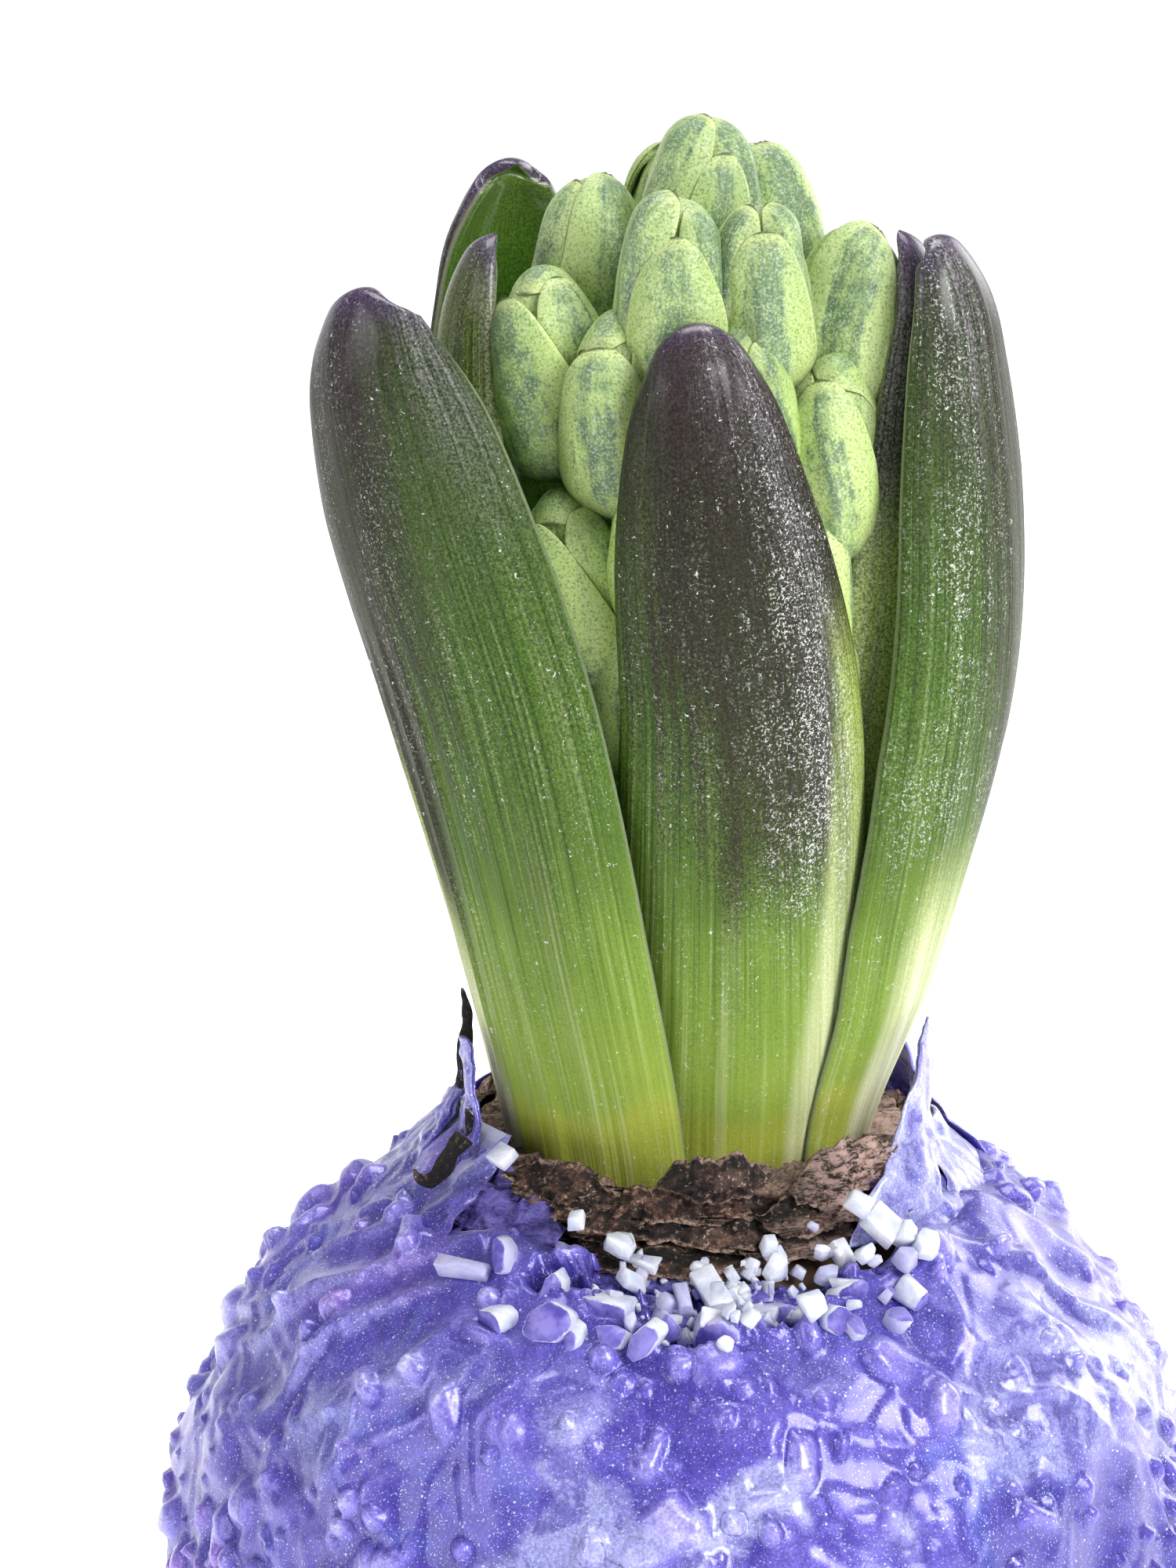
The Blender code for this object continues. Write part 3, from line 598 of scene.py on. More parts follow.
# Across a leaf runs from -1 at one margin to 1 at the other, and along it from 0 at its foot to 1 at its tip.
ANY_LEAF = dict(
    blunt=2.3,  # how square the tip is
    end=76,  # degrees that the last of the tip turns inwards beyond hook
    flare=(1, 1),  # how much longer the negative side is, from foot to tip
    pleats=(-2, 0.5),  # long folds, which reach up to (a place across, a place along)
    clear=(-1, 0),  # (a place across, the share of the dark that is taken away up to it)
    strip=(1, (1, 1), 0, 1),  # pale strip at a margin: (its side, where it starts across from foot to tip, amount, top)
)
LEAVES = {
    # rib is the midrib's (reach, azimuth, height). face is the azimuth that it looks to from foot to tip, curl the
    # half angle of its cross-section, and its last hook_length turns inwards by hook degrees. Its foot is base
    # times its width. dark is (the side it favours, where it starts, where it is full, how full), dust (the
    # middle of its band, the amount, the share lost at the top), and bloom is bands of grey-lilac, each (its middle,
    # its amount, its foot): the first a waxy bloom, any second one a painted sheen near the tip.
    "leaf_left": dict(
        rib=((10.4, -46, 50), (11.2, -48, 58), (12.8, -51, 66), (17.2, -56, 84), (21.2, -61, 98),
             (23.5, -64.5, 112.5)),
        face=(-46, -47, -40, -39), curl=(56, 48, 46, 52, 66), width=20.3, widest=0.58, base=0.85, hook=34,
        hook_length=10, blunt=2.7, pleats=(0.1, 0.7), seed=1, dark=(-0.75, 0.3, 0.9, 0.86), dust=(-0.25, 0.13, 0),
        bloom=((-0.9, 0.8, 0.2), (0.76, 0.6, 0.66)), strip=(-1, (0.1, 0.3, 0.5, 0.62, 0.7, 0.7), 0.9, 0.44)),
    "leaf_front": dict(
        rib=((8.9, 31, 50), (10.8, 28, 66), (14.4, 17, 84), (15.4, 7, 98), (12.5, 1, 110.6)),
        face=(24, 20, 12, 4), curl=(62, 60, 54, 50, 56), width=18.5, widest=0.38, base=0.94, hook=30,
        hook_length=8, flare=(1.3, 1.26, 1.14, 1.03, 1.0, 1.0), seed=2, dark=(0.14, 0.28, 0.6, 1),
        clear=(-0.62, 0.48), dust=(0.5, 1.15, 0.6), bloom=((0.6, 0.35, 0.2), (0.2, 0.5, 0.8)),
        strip=(1, (-0.04, 0.1, 0.34, 0.54, 0.62, 0.64), 0.82, 0.56)),
    "leaf_right": dict(
        rib=((10.4, 94, 50), (11.3, 93, 57.5), (15.0, 89, 67), (19.2, 79, 84), (19.6, 74, 98), (17.0, 72, 115)),
        face=(102, 84, 67, 58, 54), curl=(52, 50, 50, 56, 66), width=17.5, widest=0.45, base=1.06, hook=34,
        hook_length=9, flare=(1.02, 1.1, 1.14, 1.1, 1.03, 1, 1), seed=3, dark=(0.62, 0.1, 0.6, 0.74),
        clear=(-0.2, 0.5), dust=(-0.45, 0.5, 0), bloom=((0.75, 0.5, 0.2), (-0.3, 0.7, 0.7)),
        strip=(1, (-0.8, -0.6, -0.3), 1.0, 0.3)),
    "leaf_right_inner": dict(
        rib=((6.8, 96, 50), (9.9, 93, 66), (15.0, 88, 84), (16.3, 85, 98), (14.9, 81, 114.5)),
        face=(88, 76, 70, 74), curl=(54, 46, 42, 44, 60), width=14.5, widest=0.45, base=1.0, hook=30,
        hook_length=8, end=30, flare=(1.3, 1.3, 1.3, 1.35, 1.35, 1.25, 1.05), seed=4, dark=(-0.2, 0.5, 0.9, 0.62),
        dust=(-0.6, 0.1, 0), bloom=((-0.9, 0.5, 0.2),), strip=(1, (-1.2, -1.2), 0.75, 0.66)),
    "leaf_left_inner": dict(
        rib=((7.4, -84, 50), (10.2, -82, 66), (13.9, -79, 84), (15.3, -77, 98), (13.9, -76, 114)),
        face=(-78, -72, -68, -62), curl=(54, 52, 48, 46, 48), width=13.0, widest=0.4, base=0.95, hook=26,
        hook_length=8, end=40, seed=5, dark=(-0.1, 0.45, 0.9, 0.45), dust=(0.0, 0.35, 0),
        bloom=((0.9, 0.5, 0.2),), strip=(1, (-1.2, -1.2), 0.45, 0.86)),
    "leaf_back_left": dict(
        rib=((9.2, -146, 50), (11.6, -144, 66), (15.4, -140, 84), (17.6, -138, 98), (17.3, -137, 117)),
        face=(-152, -150, -150, -152), curl=(54, 50, 48, 54, 66), width=18.5, widest=0.55, base=0.85, hook=34,
        hook_length=9, seed=6, dark=(0.1, 0.45, 0.95, 1), dust=(0.2, 0.2, 0), bloom=((-0.8, 0.6, 0.2),)),
}
LEAF_THICKNESS = 1.3
LEAF_SAMPLES = 500
TIP_LENGTH = 2.4  # the last of a leaf, which turns in sharply
STRETCH_FROM = 62.0  # the height above which a leaf is stretched to the height of its node


def leaf_frame(leaf):
    """The midrib with its sideways and outward directions, evenly spaced by arc length, and its length. It is a
    curve through the rib's places whose last hook_length turns inwards by hook degrees, and whose last TIP_LENGTH
    turns by end degrees more."""
    even = np.linspace(0, 1, LEAF_SAMPLES)
    through = place(*np.array(leaf["rib"], float).T)
    rib = curve_through(through, even)
    arc = np.concatenate([[0], np.cumsum(np.linalg.norm(np.diff(rib, axis=0), axis=1))])
    length = arc[-1]
    rib = curve_through(through, np.interp(even * length, arc, even))
    face = np.radians(spread(leaf["face"], even))
    level = np.stack([np.cos(face), np.sin(face), np.zeros(LEAF_SAMPLES)], axis=-1)
    tangent = normalized(np.gradient(rib, axis=0))
    side = normalized(level - tangent * np.sum(level * tangent, axis=1)[:, None])
    outward = np.cross(side, tangent)
    to_tip = (1 - even) * length
    bend = leaf["hook"] * smooth_step(1 - to_tip / leaf["hook_length"])
    bend = np.radians(bend + leaf["end"] * smooth_step(1 - to_tip / TIP_LENGTH))[:, None]
    hooked = tangent * np.cos(bend) - outward * np.sin(bend)
    outward = outward * np.cos(bend) + tangent * np.sin(bend)
    walked = np.cumsum((hooked[1:] + hooked[:-1]) / 2 * length / (LEAF_SAMPLES - 1), axis=0)
    return through[0] + np.concatenate([np.zeros((1, 3)), walked]), side, outward, length


def blade(rib, side, outward, half_width, curl, thickness, columns, lift, flare):
    """A closed blade: at each place on the rib its cross-section is an arc of half angle curl and half length
    half_width, bending inwards, with a thickness that rounds off to nothing at the margins as
    sqrt(1 - across^6). The arc is longer by flare on its negative side. Returns the rings, and for each point how
    far across it is and how far outside."""
    outer = np.linspace(-1, 1, columns)
    inner = np.linspace(1, -1, columns * 5 // 8)[1:-1]
    across = np.concatenate([outer, inner])
    facing = np.concatenate([np.ones(len(outer)), -np.ones(len(inner))])
    rounding = np.sqrt(np.clip(1 - np.abs(across) ** 6, 0, 1)) * facing
    angle = curl[:, None] * across * np.where(across < 0, flare[:, None], 1)
    radius = (half_width / np.maximum(curl, 1e-3))[:, None]
    away = radius + thickness[:, None] * (rounding - 1) / 2 + lift(across) * rounding
    rings = (
        rib[:, None]
        + side[:, None] * (away * np.sin(angle))[..., None]
        + outward[:, None] * (away * np.cos(angle) - radius)[..., None]
    )
    return rings, across, (facing * (np.abs(across) < 0.999) + 1) / 2


def leaf_layers(leaf, across, along):
    """What colours a leaf, from 0 to 1 at each point: dark rises along it and to one side, dust and bloom are bands,
    where bloom is a waxy bloom and a painted sheen, and the strip lies at one margin below its top. Each ends
    softly, as a smooth step or a bell."""
    favour, start, full, most = leaf["dark"]
    broad = noise(np.stack(np.broadcast_arrays(across * 2.2, along * 5, leaf["seed"] * 3.3), -1), 1.0, 2)
    dark = most * smooth_step((along + favour * across + 0.08 * broad - start) / (full - start))
    clear_from, clear_by = leaf["clear"]
    dark = dark * (1 - clear_by * smooth_step((clear_from + 0.16 * broad + 0.2 - across) / 0.4))
    band, powder, lost = leaf["dust"]
    dust = powder * bell(across - band, 0.42) * smooth_step((along - 0.25) / 0.2) + 0.12
    dust = dust * (1 - lost * smooth_step((along - 0.66) / 0.2))
    # bloom: a waxy grey-lilac bloom, and a painted sheen near the tips
    bloom = sum(amount * bell(across - middle, 0.18) * smooth_step((along - lowest) / 0.3)
                for middle, amount, lowest in leaf["bloom"])
    side, starts, amount, top = leaf["strip"]
    strip = amount * smooth_step((across * side - spread(starts, along)) / 0.16)
    return dict(dark=dark, dust=dust, bloom=bloom, strip=strip * (1 - smooth_step((along - top) / 0.15)))


def leaf_skin(node, leaf):
    """One leaf: a blade along leaf_frame, with fine raised veins. Its width swells to the widest place and then
    closes as half an ellipse. It is stretched upwards so that it is as tall as its node."""
    leaf = {**ANY_LEAF, **leaf}
    rows, columns = 150, 68
    rib, side, outward, length = leaf_frame(leaf)
    along = 0.9996 * (1 - (1 - np.linspace(0, 1, rows)) ** 1.5)
    sample = along * (LEAF_SAMPLES - 1)
    at = np.round(sample).astype(int)
    centre = rib[at] + np.gradient(rib, axis=0)[at] * (sample - at)[:, None]
    widest = leaf["widest"]
    swell = leaf["base"] + (1 - leaf["base"]) * np.sin(np.clip(along / widest, 0, 1) * math.pi / 2)
    beyond = np.clip((along - widest) / (1 - widest), 0, 1)
    half_width = leaf["width"] / 2 * swell * np.sqrt(1 - beyond ** leaf["blunt"])
    thickness = np.maximum(LEAF_THICKNESS * np.sqrt(np.clip((1 - along) * length / 2.5, 0, 1)), 0.05)
    curl = np.minimum(np.radians(spread(leaf["curl"], along)), half_width / (0.25 + thickness))

    def on_blade(across, squeeze=1.0):
        """Places in mm on the leaf laid flat, squeezed across and drawn together along it, where noise makes
        long streaks."""
        return np.stack(np.broadcast_arrays(across * half_width[:, None] * squeeze, along[:, None] * length / 24,
                                            leaf["seed"] * 7.7), axis=-1)

    def pleats(across):
        """(height, painted light and shade) of the long folds: each rises slowly over 1.4 mm and drops back in 0.3 mm.
        """
        last_across, last_along = leaf["pleats"]
        where = on_blade(across, 0.3)
        step = (where[..., 0] / 0.51 + 0.35 * noise(where, 2.0, 6)) % 1
        share = smooth_step((last_across + 0.3 - across) / 0.4)
        share = share * (1 - smooth_step((along - last_along) / 0.15 + 1))[:, None]
        return np.where(step < 0.8, step / 0.8, (1 - step) / 0.2) * share, (0.5 - step) * share

    def veins(across):
        """Raised veins and folds, which fade at the tip."""
        where = on_blade(across)
        fade = smooth_step((1 - along) / 0.12)[:, None]
        return fade * (0.10 * noise(where, 1.5, 3) + 0.05 * noise(where, 0.75, 4) + 0.26 * pleats(across)[0])

    flare = spread(leaf["flare"], along)
    rings, across, facing = blade(centre, side[at], outward[at], half_width, curl, thickness, columns, veins, flare)
    layers = leaf_layers(leaf, across, along[:, None])
    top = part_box(node)[1].z / MM
    above = np.maximum(rings[..., 2] - STRETCH_FROM, 0)
    rings[..., 2] += above * ((top - STRETCH_FROM) / above.max() - 1)
    return loft(rings, across=across[None, :], along=along[:, None], outer=facing[None, :],
                pleat=0.5 + pleats(across)[1], kind=leaf["seed"] / 10, **layers)


def leaf_finish():
    """Leaf: olive at the foot, pale above it, then green, and purple-brown where it is dark, with long veins, a
    pale strip and thin pale margins, a salt-and-pepper grain, painted light and shade across the pleats, a grey-lilac
    bloom with a painted sheen near the tip, a glossy tip and white dust."""
    f = Finish("leaf_skin")
    across, along, outer, pleat = f.layer("across"), f.layer("along"), f.layer("outer"), f.layer("pleat")
    kind = f.times(f.layer("kind"), 50.0)
    veins = f.noise(f.vector(f.times(across, 9.0), f.times(along, 1.4), kind), 1.0, 3, 0.6)
    fine = f.noise(f.vector(f.times(across, 42.0), f.times(along, 2.6), kind), 1.0, 2, 0.5)
    pepper = f.noise(f.object, 7200, 2, 0.7)
    salt = f.noise(f.object, 6000, 2, 0.7)
    blotch = f.noise(f.object, 150, 3, 0.55)

    level = f.plus(along, f.off(veins, 0.2), f.off(blotch, 0.16), f.off(salt, 0.45))
    green = f.ramp(level, (0.0, 134, 150, 58), (0.14, 142, 162, 62), (0.28, 116, 144, 52), (0.42, 76, 104, 34),
                   (0.6, 66, 94, 30), (0.8, 60, 78, 36), (1.0, 56, 64, 44))
    foot = f.plus(along, f.off(veins, 0.03), f.off(blotch, 0.07))
    green = f.tint(green, f.times(f.remap(foot, 0.19, 0.155), 0.72), 164, 170, 64)
    cream = f.times(f.remap(veins, 0.54, 0.72), f.remap(along, 0.6, 0.2), f.remap(f.away(across), 0.2, 0.8, 0.3, 1.0))
    green = f.tint(green, f.times(cream, 0.8), 206, 206, 160)
    pale = f.times(f.remap(fine, 0.52, 0.72), f.remap(along, 0.95, 0.2, 0.04, 0.24))
    green = f.tint(green, pale, 196, 208, 150)
    line = f.times(f.remap(fine, 0.46, 0.36), f.remap(along, 0.2, 0.45, 0.06, 0.5))
    green = f.tint(green, line, 24, 42, 18)

    dark = f.plus(f.layer("dark"), f.off(veins, 1.2), f.off(fine, 0.6), f.off(pepper, 3.2))
    dark = f.math("SUBTRACT", dark, f.remap(along, 0.42, 0.2, 0.0, 0.7))
    purple = f.ramp(along, (0.35, 43, 32, 29), (0.8, 38, 29, 27), (0.95, 54, 41, 48), (1.0, 76, 58, 88))
    base = f.blend(f.times(f.remap(dark, 0.15, 0.95), 0.92), green, purple)
    strip = f.times(f.layer("strip"), f.remap(veins, 0.35, 0.55, 0.5, 1.0))
    base = f.blend(strip, base, f.blend(f.remap(along, 0.15, 0.5), srgb(228, 230, 190), srgb(158, 178, 88)))
    tip = f.plus(along, f.off(blotch, 0.1), f.off(pepper, 0.12))
    base = f.tint(base, f.times(f.remap(tip, 0.93, 0.995), 0.85), 72, 54, 88)
    # bloom: a waxy grey-lilac bloom, and a painted sheen near the tips
    bloom = f.times(f.layer("bloom"), f.remap(f.plus(fine, f.off(salt, 0.9)), 0.25, 0.7))
    base = f.tint(base, f.times(bloom, 0.7), 150, 144, 154)

    # gain: the salt-and-pepper grain, times painted light and shade across the pleats
    gain = f.times(f.remap(salt, 0.36, 0.64, 0.55, 1.5), f.remap(pepper, 0.36, 0.64, 0.75, 1.25),
                   f.remap(pleat, 0.0, 1.0, 0.66, 1.34, smooth=False))
    base = f.dimmed(base, gain, f.remap(along, 0.2, 0.62, 0.14, 1.0))
    inside = f.blend(f.remap(along, 0.7, 1.0), srgb(84, 136, 42), srgb(92, 120, 48))
    base = f.blend(f.math("SUBTRACT", 1.0, outer), base, f.dimmed(inside, gain, 0.6))
    base = f.tint(base, f.times(f.remap(f.away(across), 0.972, 0.995), 0.42), 176, 172, 158)

    shift = f.add("ShaderNodeTexNoise", {"Vector": f.object, "Scale": 3200.0}).outputs[1]
    shift = f.add("ShaderNodeVectorMath", {0: shift, 1: (0.0009,) * 3}, operation="MULTIPLY").outputs[0]
    wander = f.add("ShaderNodeVectorMath", {0: f.object, 1: shift}, operation="ADD").outputs[0]
    patch = f.noise(f.vector(f.times(across, 3.0), f.times(along, 6.0), kind), 1.0, 4, 0.7)
    wanted = f.times(f.layer("dust"), f.remap(fine, 0.38, 0.62, 0.35, 1.0), f.remap(patch, 0.4, 0.6, 0.06, 1.25))
    speck = f.times(f.remap(f.noise(f.object, 5600, 2, 0.6), 0.56, 0.64), wanted, 1.3)
    for scale, share, least, more in ((1500, 0.28, 0.06, 0.16), (2900, 0.75, 0.08, 0.20), (4800, 1.0, 0.12, 0.20)):
        chosen = f.add("ShaderNodeSeparateColor", {0: f.cells(wander, scale, "Color")})
        here = f.math("LESS_THAN", chosen.outputs[0], f.times(wanted, share))
        size = f.math("MULTIPLY_ADD", chosen.outputs[1], more, least)
        inside_speck = f.remap(f.math("SUBTRACT", f.cells(wander, scale), size), 0.05, -0.05)
        speck = f.larger(speck, f.times(here, inside_speck))
    speck = f.math("MULTIPLY", speck, outer, clamp=True)
    base = f.tint(base, f.times(speck, 0.82), 218, 220, 216)

    normal = f.bump(f.plus(veins, f.times(fine, 0.7)), 0.14, 0.7)
    normal = f.bump(salt, 0.05, 0.5, normal)
    rough = f.plus(f.remap(along, 0.92, 0.98, 0.46, 0.28), f.times(speck, 0.3))
    return f.shade(Base_Color=base, Roughness=rough, Normal=normal, Specular_IOR_Level=0.14,
                   Coat_Weight=f.remap(along, 0.88, 0.96, 0.03, 0.8), Coat_Roughness=0.2,
                   Subsurface_Weight=0.04, Subsurface_Radius=(0.4, 0.8, 0.2), Subsurface_Scale=0.0008)


# ---------------------------------------------------------------- the flower spike

AXIS_X = 0.6  # how far right of the axis the spike stands
BUD_LENGTH = 11.2
BUD_WIDTH = 6.5
# A tepal is (turn to the right of the bud's face, how far up and over the top its tip reaches, half width, all in
# degrees, how far the tip swells, degrees that the tip leans to the right). The first lies over the second, and
# that over the third.
HIGH = ((20, 84, 54, 0.5, 10), (-95, 86, 52, 0.5, 0), (145, 88, 54, 0.4, 0))
HOODED = ((-10, 48, 54, 0.3, -12), (48, 62, 46, 0.3, 6), (170, 130, 58, 0.4, 0))
BUDS = (
    # height, reach, lean, azimuth, the azimuth that its face looks to, size, tepals
    (113.7, 0.4, 2, 40, 0, 1.12, ((10, 46, 34, 0.1, 0), (-60, 84, 46, 0.8, 6), (60, 86, 58, 0.6, -8))),
    (112.0, 5.8, -6, 135, 0, 1.0, ((34, 82, 52, 0.4, 0), (-44, 84, 46, 0.6, 8), (168, 95, 50, 0.3, 0))),
    (111.6, 5.4, -6, -165, -165, 1.0, HIGH),
    (110.3, 6.6, 0, -100, 0, 1.03, ((16, 84, 56, 0.3, 14), (-66, 76, 50, 0.3, 0), (150, 96, 52, 0.3, 0))),
    (110.3, 6.6, 0, -12, 0, 1.06, ((2, 42, 50, 0.2, -6), (-66, 84, 44, 1.0, 10), (52, 72, 54, 0.6, -4))),
    (110.2, 6.8, 0, 32, 0, 0.98, ((8, 48, 50, 0.2, -4), (-54, 74, 46, 0.5, 6), (62, 82, 48, 0.8, -8))),
    (107.6, 8.8, 5, 82, 0, 1.08, ((-16, 88, 50, 0.4, 22), (46, 74, 48, 0.3, 24), (115, 84, 52, 0.3, 0))),
    (107.6, 8.8, 5, 165, 165, 1.0, HOODED),
    (105.4, 9.4, 8, -68, 0, 1.1, ((-20, 54, 56, 0.3, -16), (36, 68, 46, 0.3, 8), (165, 124, 58, 0.4, 0))),
    (105.4, 9.2, 8, 124, 124, 1.0, HIGH), (105.4, 9.2, 8, -125, -125, 1.0, HOODED),
    (103.4, 8.3, 6, -34, 0, 1.06, ((-14, 50, 58, 0.3, -8), (50, 62, 46, 0.25, 6), (170, 132, 58, 0.45, 8))),
    (103.4, 8.1, 6, 16, 0, 1.0, HOODED), (103.4, 8.1, 6, -168, -168, 1.0, HIGH),
    (100.4, 8.8, 8, 58, 0, 1.08, ((14, 56, 50, 0.3, -14), (-52, 60, 46, 0.3, 0), (160, 126, 52, 0.6, -8))),
    (100.4, 8.4, 8, 104, 104, 1.0, HIGH), (100.4, 8.4, 8, 148, 148, 1.0, HOODED),
    (100.4, 8.4, 8, -102, -20, 1.0, HOODED),
    (95.2, 8.7, 10, -12, 0, 1.0, HIGH), (95.2, 8.7, 10, 126, 126, 1.0, HOODED), (95.2, 8.7, 10, 176, 176, 1.0, HIGH),
    (95.2, 8.7, 10, -140, -140, 1.0, HOODED),
    (92.6, 9.8, 9, -50, 0, 1.08, ((-8, 54, 54, 0.3, -20), (52, 64, 48, 0.25, 0), (170, 128, 62, 0.4, 0))),
    (92.6, 8.8, 9, 38, 38, 1.0, HOODED), (93.4, 8.2, 9, 84, 40, 1.0, HIGH),
    (86.6, 7.4, 10, -28, -28, 1.0, HIGH), (86.6, 7.4, 10, 14, 14, 1.0, HIGH), (86.6, 7.4, 10, 60, 60, 1.0, HOODED),
    (86.6, 7.4, 10, 110, 110, 1.0, HIGH), (86.6, 7.4, 10, 156, 156, 1.0, HOODED),
    (86.6, 7.4, 10, -158, -158, 1.0, HIGH), (86.6, 7.4, 10, -112, -112, 1.0, HOODED),
)


def turned_z(points, degrees):
    c, s = math.cos(math.radians(degrees)), math.sin(math.radians(degrees))
    return points @ np.array([[c, s, 0], [-s, c, 0], [0, 0, 1]])


def turned_x(points, degrees):
    c, s = math.cos(math.radians(degrees)), math.sin(math.radians(degrees))
    return points @ np.array([[1, 0, 0], [0, c, s], [0, -s, c]])


def bud_points(direction, swing):
    """The place on a bud of half width 1 and half length 1 in each direction from its middle. Its radius at the
    height s is sqrt(1 - |s|^2.7) (1 - 0.2 s), and its cross-section is faintly three-sided."""
    height = direction[..., 2]
    wide = np.sqrt((1 - np.abs(height) ** 2.7) / np.maximum(1 - height**2, 1e-6)) * (1 - 0.2 * height)
    turn = np.arctan2(direction[..., 1], direction[..., 0])
    wide = wide * (1 + 0.045 * np.cos(3 * (turn - swing)))
    return np.stack([direction[..., 0] * wide, direction[..., 1] * wide, height], axis=-1)


def tepal(azimuth, shape, level, size, swing, twist, draw, fine):
    """One fleshy tepal of a closed bud. It follows the bud's body along a great circle up its own side, and over
    the top if it reaches that far, to a pointed arch of a tip that swells like a thumb. It lies level mm above the
    body, and its middle has a keel and a furrow. Its half width closes as (1 - beyond^2.2) to a power near a half,
    where beyond runs from 0 half way up it to 1 at its tip."""
    reaches, wide, thumb, leaning = shape
    lowest = math.radians(-78)
    rows, columns = (40, 30) if fine else (20, 14)
    even = np.linspace(-1, 1, columns)
    outer = 0.45 * even + 0.55 * np.sin(even * math.pi / 2)
    under = np.linspace(1, -1, columns // 2)[1:-1]
    across = np.concatenate([outer, under])[None, :]
    facing = np.concatenate([np.ones(len(outer)), -np.ones(len(under))])[None, :]
    along = (1 - (1 - np.linspace(0, 1, rows)) ** 1.35)[:, None]
    climb = lowest + (math.radians(reaches) - lowest) * along
    beyond = np.clip(2 * along - 1, 0, 1)
    half_width = math.radians(wide) * np.maximum(1 - beyond**2.2, 1e-3) ** draw.uniform(0.45, 0.6)
    lateral = half_width * across + math.radians(leaning) * smooth_step(along)
    forward, side, height = np.cos(lateral) * np.cos(climb), np.sin(lateral), np.cos(lateral) * np.sin(climb)
    turn = azimuth + twist * height
    direction = np.stack([forward * np.cos(turn) - side * np.sin(turn),
                          forward * np.sin(turn) + side * np.cos(turn), height], axis=-1)
    half = np.array([BUD_WIDTH / 2, BUD_WIDTH / 2, BUD_LENGTH / 2]) * size
    body = bud_points(direction, swing) * half
    away = normalized(direction / half)
    rounding = np.sqrt(np.clip(1 - np.abs(across) ** 7, 0, 1)) * facing
    thickness = 0.6 * np.maximum(np.sqrt(np.clip((1 - along) / 0.05, 0, 1)), 0.1)
    near_tip = bell(along - 0.86, 0.16) * bell(half_width * across, math.radians(28))
    ridge_at, furrow_at = draw.uniform(-0.45, 0.45), draw.uniform(-0.5, 0.5)
    ridge = draw.uniform(0.3, 0.62) * np.exp(-np.abs((across - ridge_at) / 0.26) ** 1.15)
    furrow = draw.uniform(0.0, 0.25) * bell(across - furrow_at, 0.12)
    upright = np.sin(np.clip(along * 1.1, 0, 1) * math.pi)
    lift = level + thumb * near_tip + (ridge - furrow) * upright + 0.12 * np.abs(across) ** 5
    lift = lift + 0.2 * noise(body, 3.0, int(azimuth * 10) % 97) + thickness * (rounding - 1) / 2
    return loft(body + away * lift[..., None], across=across, along=along, outer=(facing + 1) / 2,
                inner=float(level < -0.2), kind=draw.random(), rise=0.0)


# How far above the body the three tepals of a bud lie, and then the three plain ones within, which fill its gaps.
TEPAL_LEVELS = (0.5, 0.18, -0.1, -0.36, -0.36, -0.36)
WITHIN = ((60, 88, 54, 0.5, 0), (180, 94, 54, 0.5, 0), (300, 100, 54, 0.5, 0))


def bud_skins(bud, index):
    """The tepals of one bud. Those that show from the front have finer rows. The rise runs from 0 at the lowest
    buds to 1 at the top of the spike."""
    height, reach, lean, azimuth, face, size, shapes = bud
    draw = random.Random(index + 40)
    swing, twist = draw.uniform(0, 2), draw.uniform(-0.4, 0.4)
    skins = []
    for (turn, *shape), level in zip(shapes + WITHIN, TEPAL_LEVELS):
        turn = math.radians(turn + face - azimuth - 90)
        skin = tepal(turn, shape, level, size, swing, twist, draw, abs(azimuth) < 100 and level > -0.3)
        skin["points"] = turned_z(turned_x(skin["points"], lean), azimuth) + place(reach, azimuth, height) + (
            AXIS_X, 0, 0)
        skin["layers"]["rise"] = np.full(len(skin["points"]), (height - 85) / 32)
        skins.append(skin)
    return skins


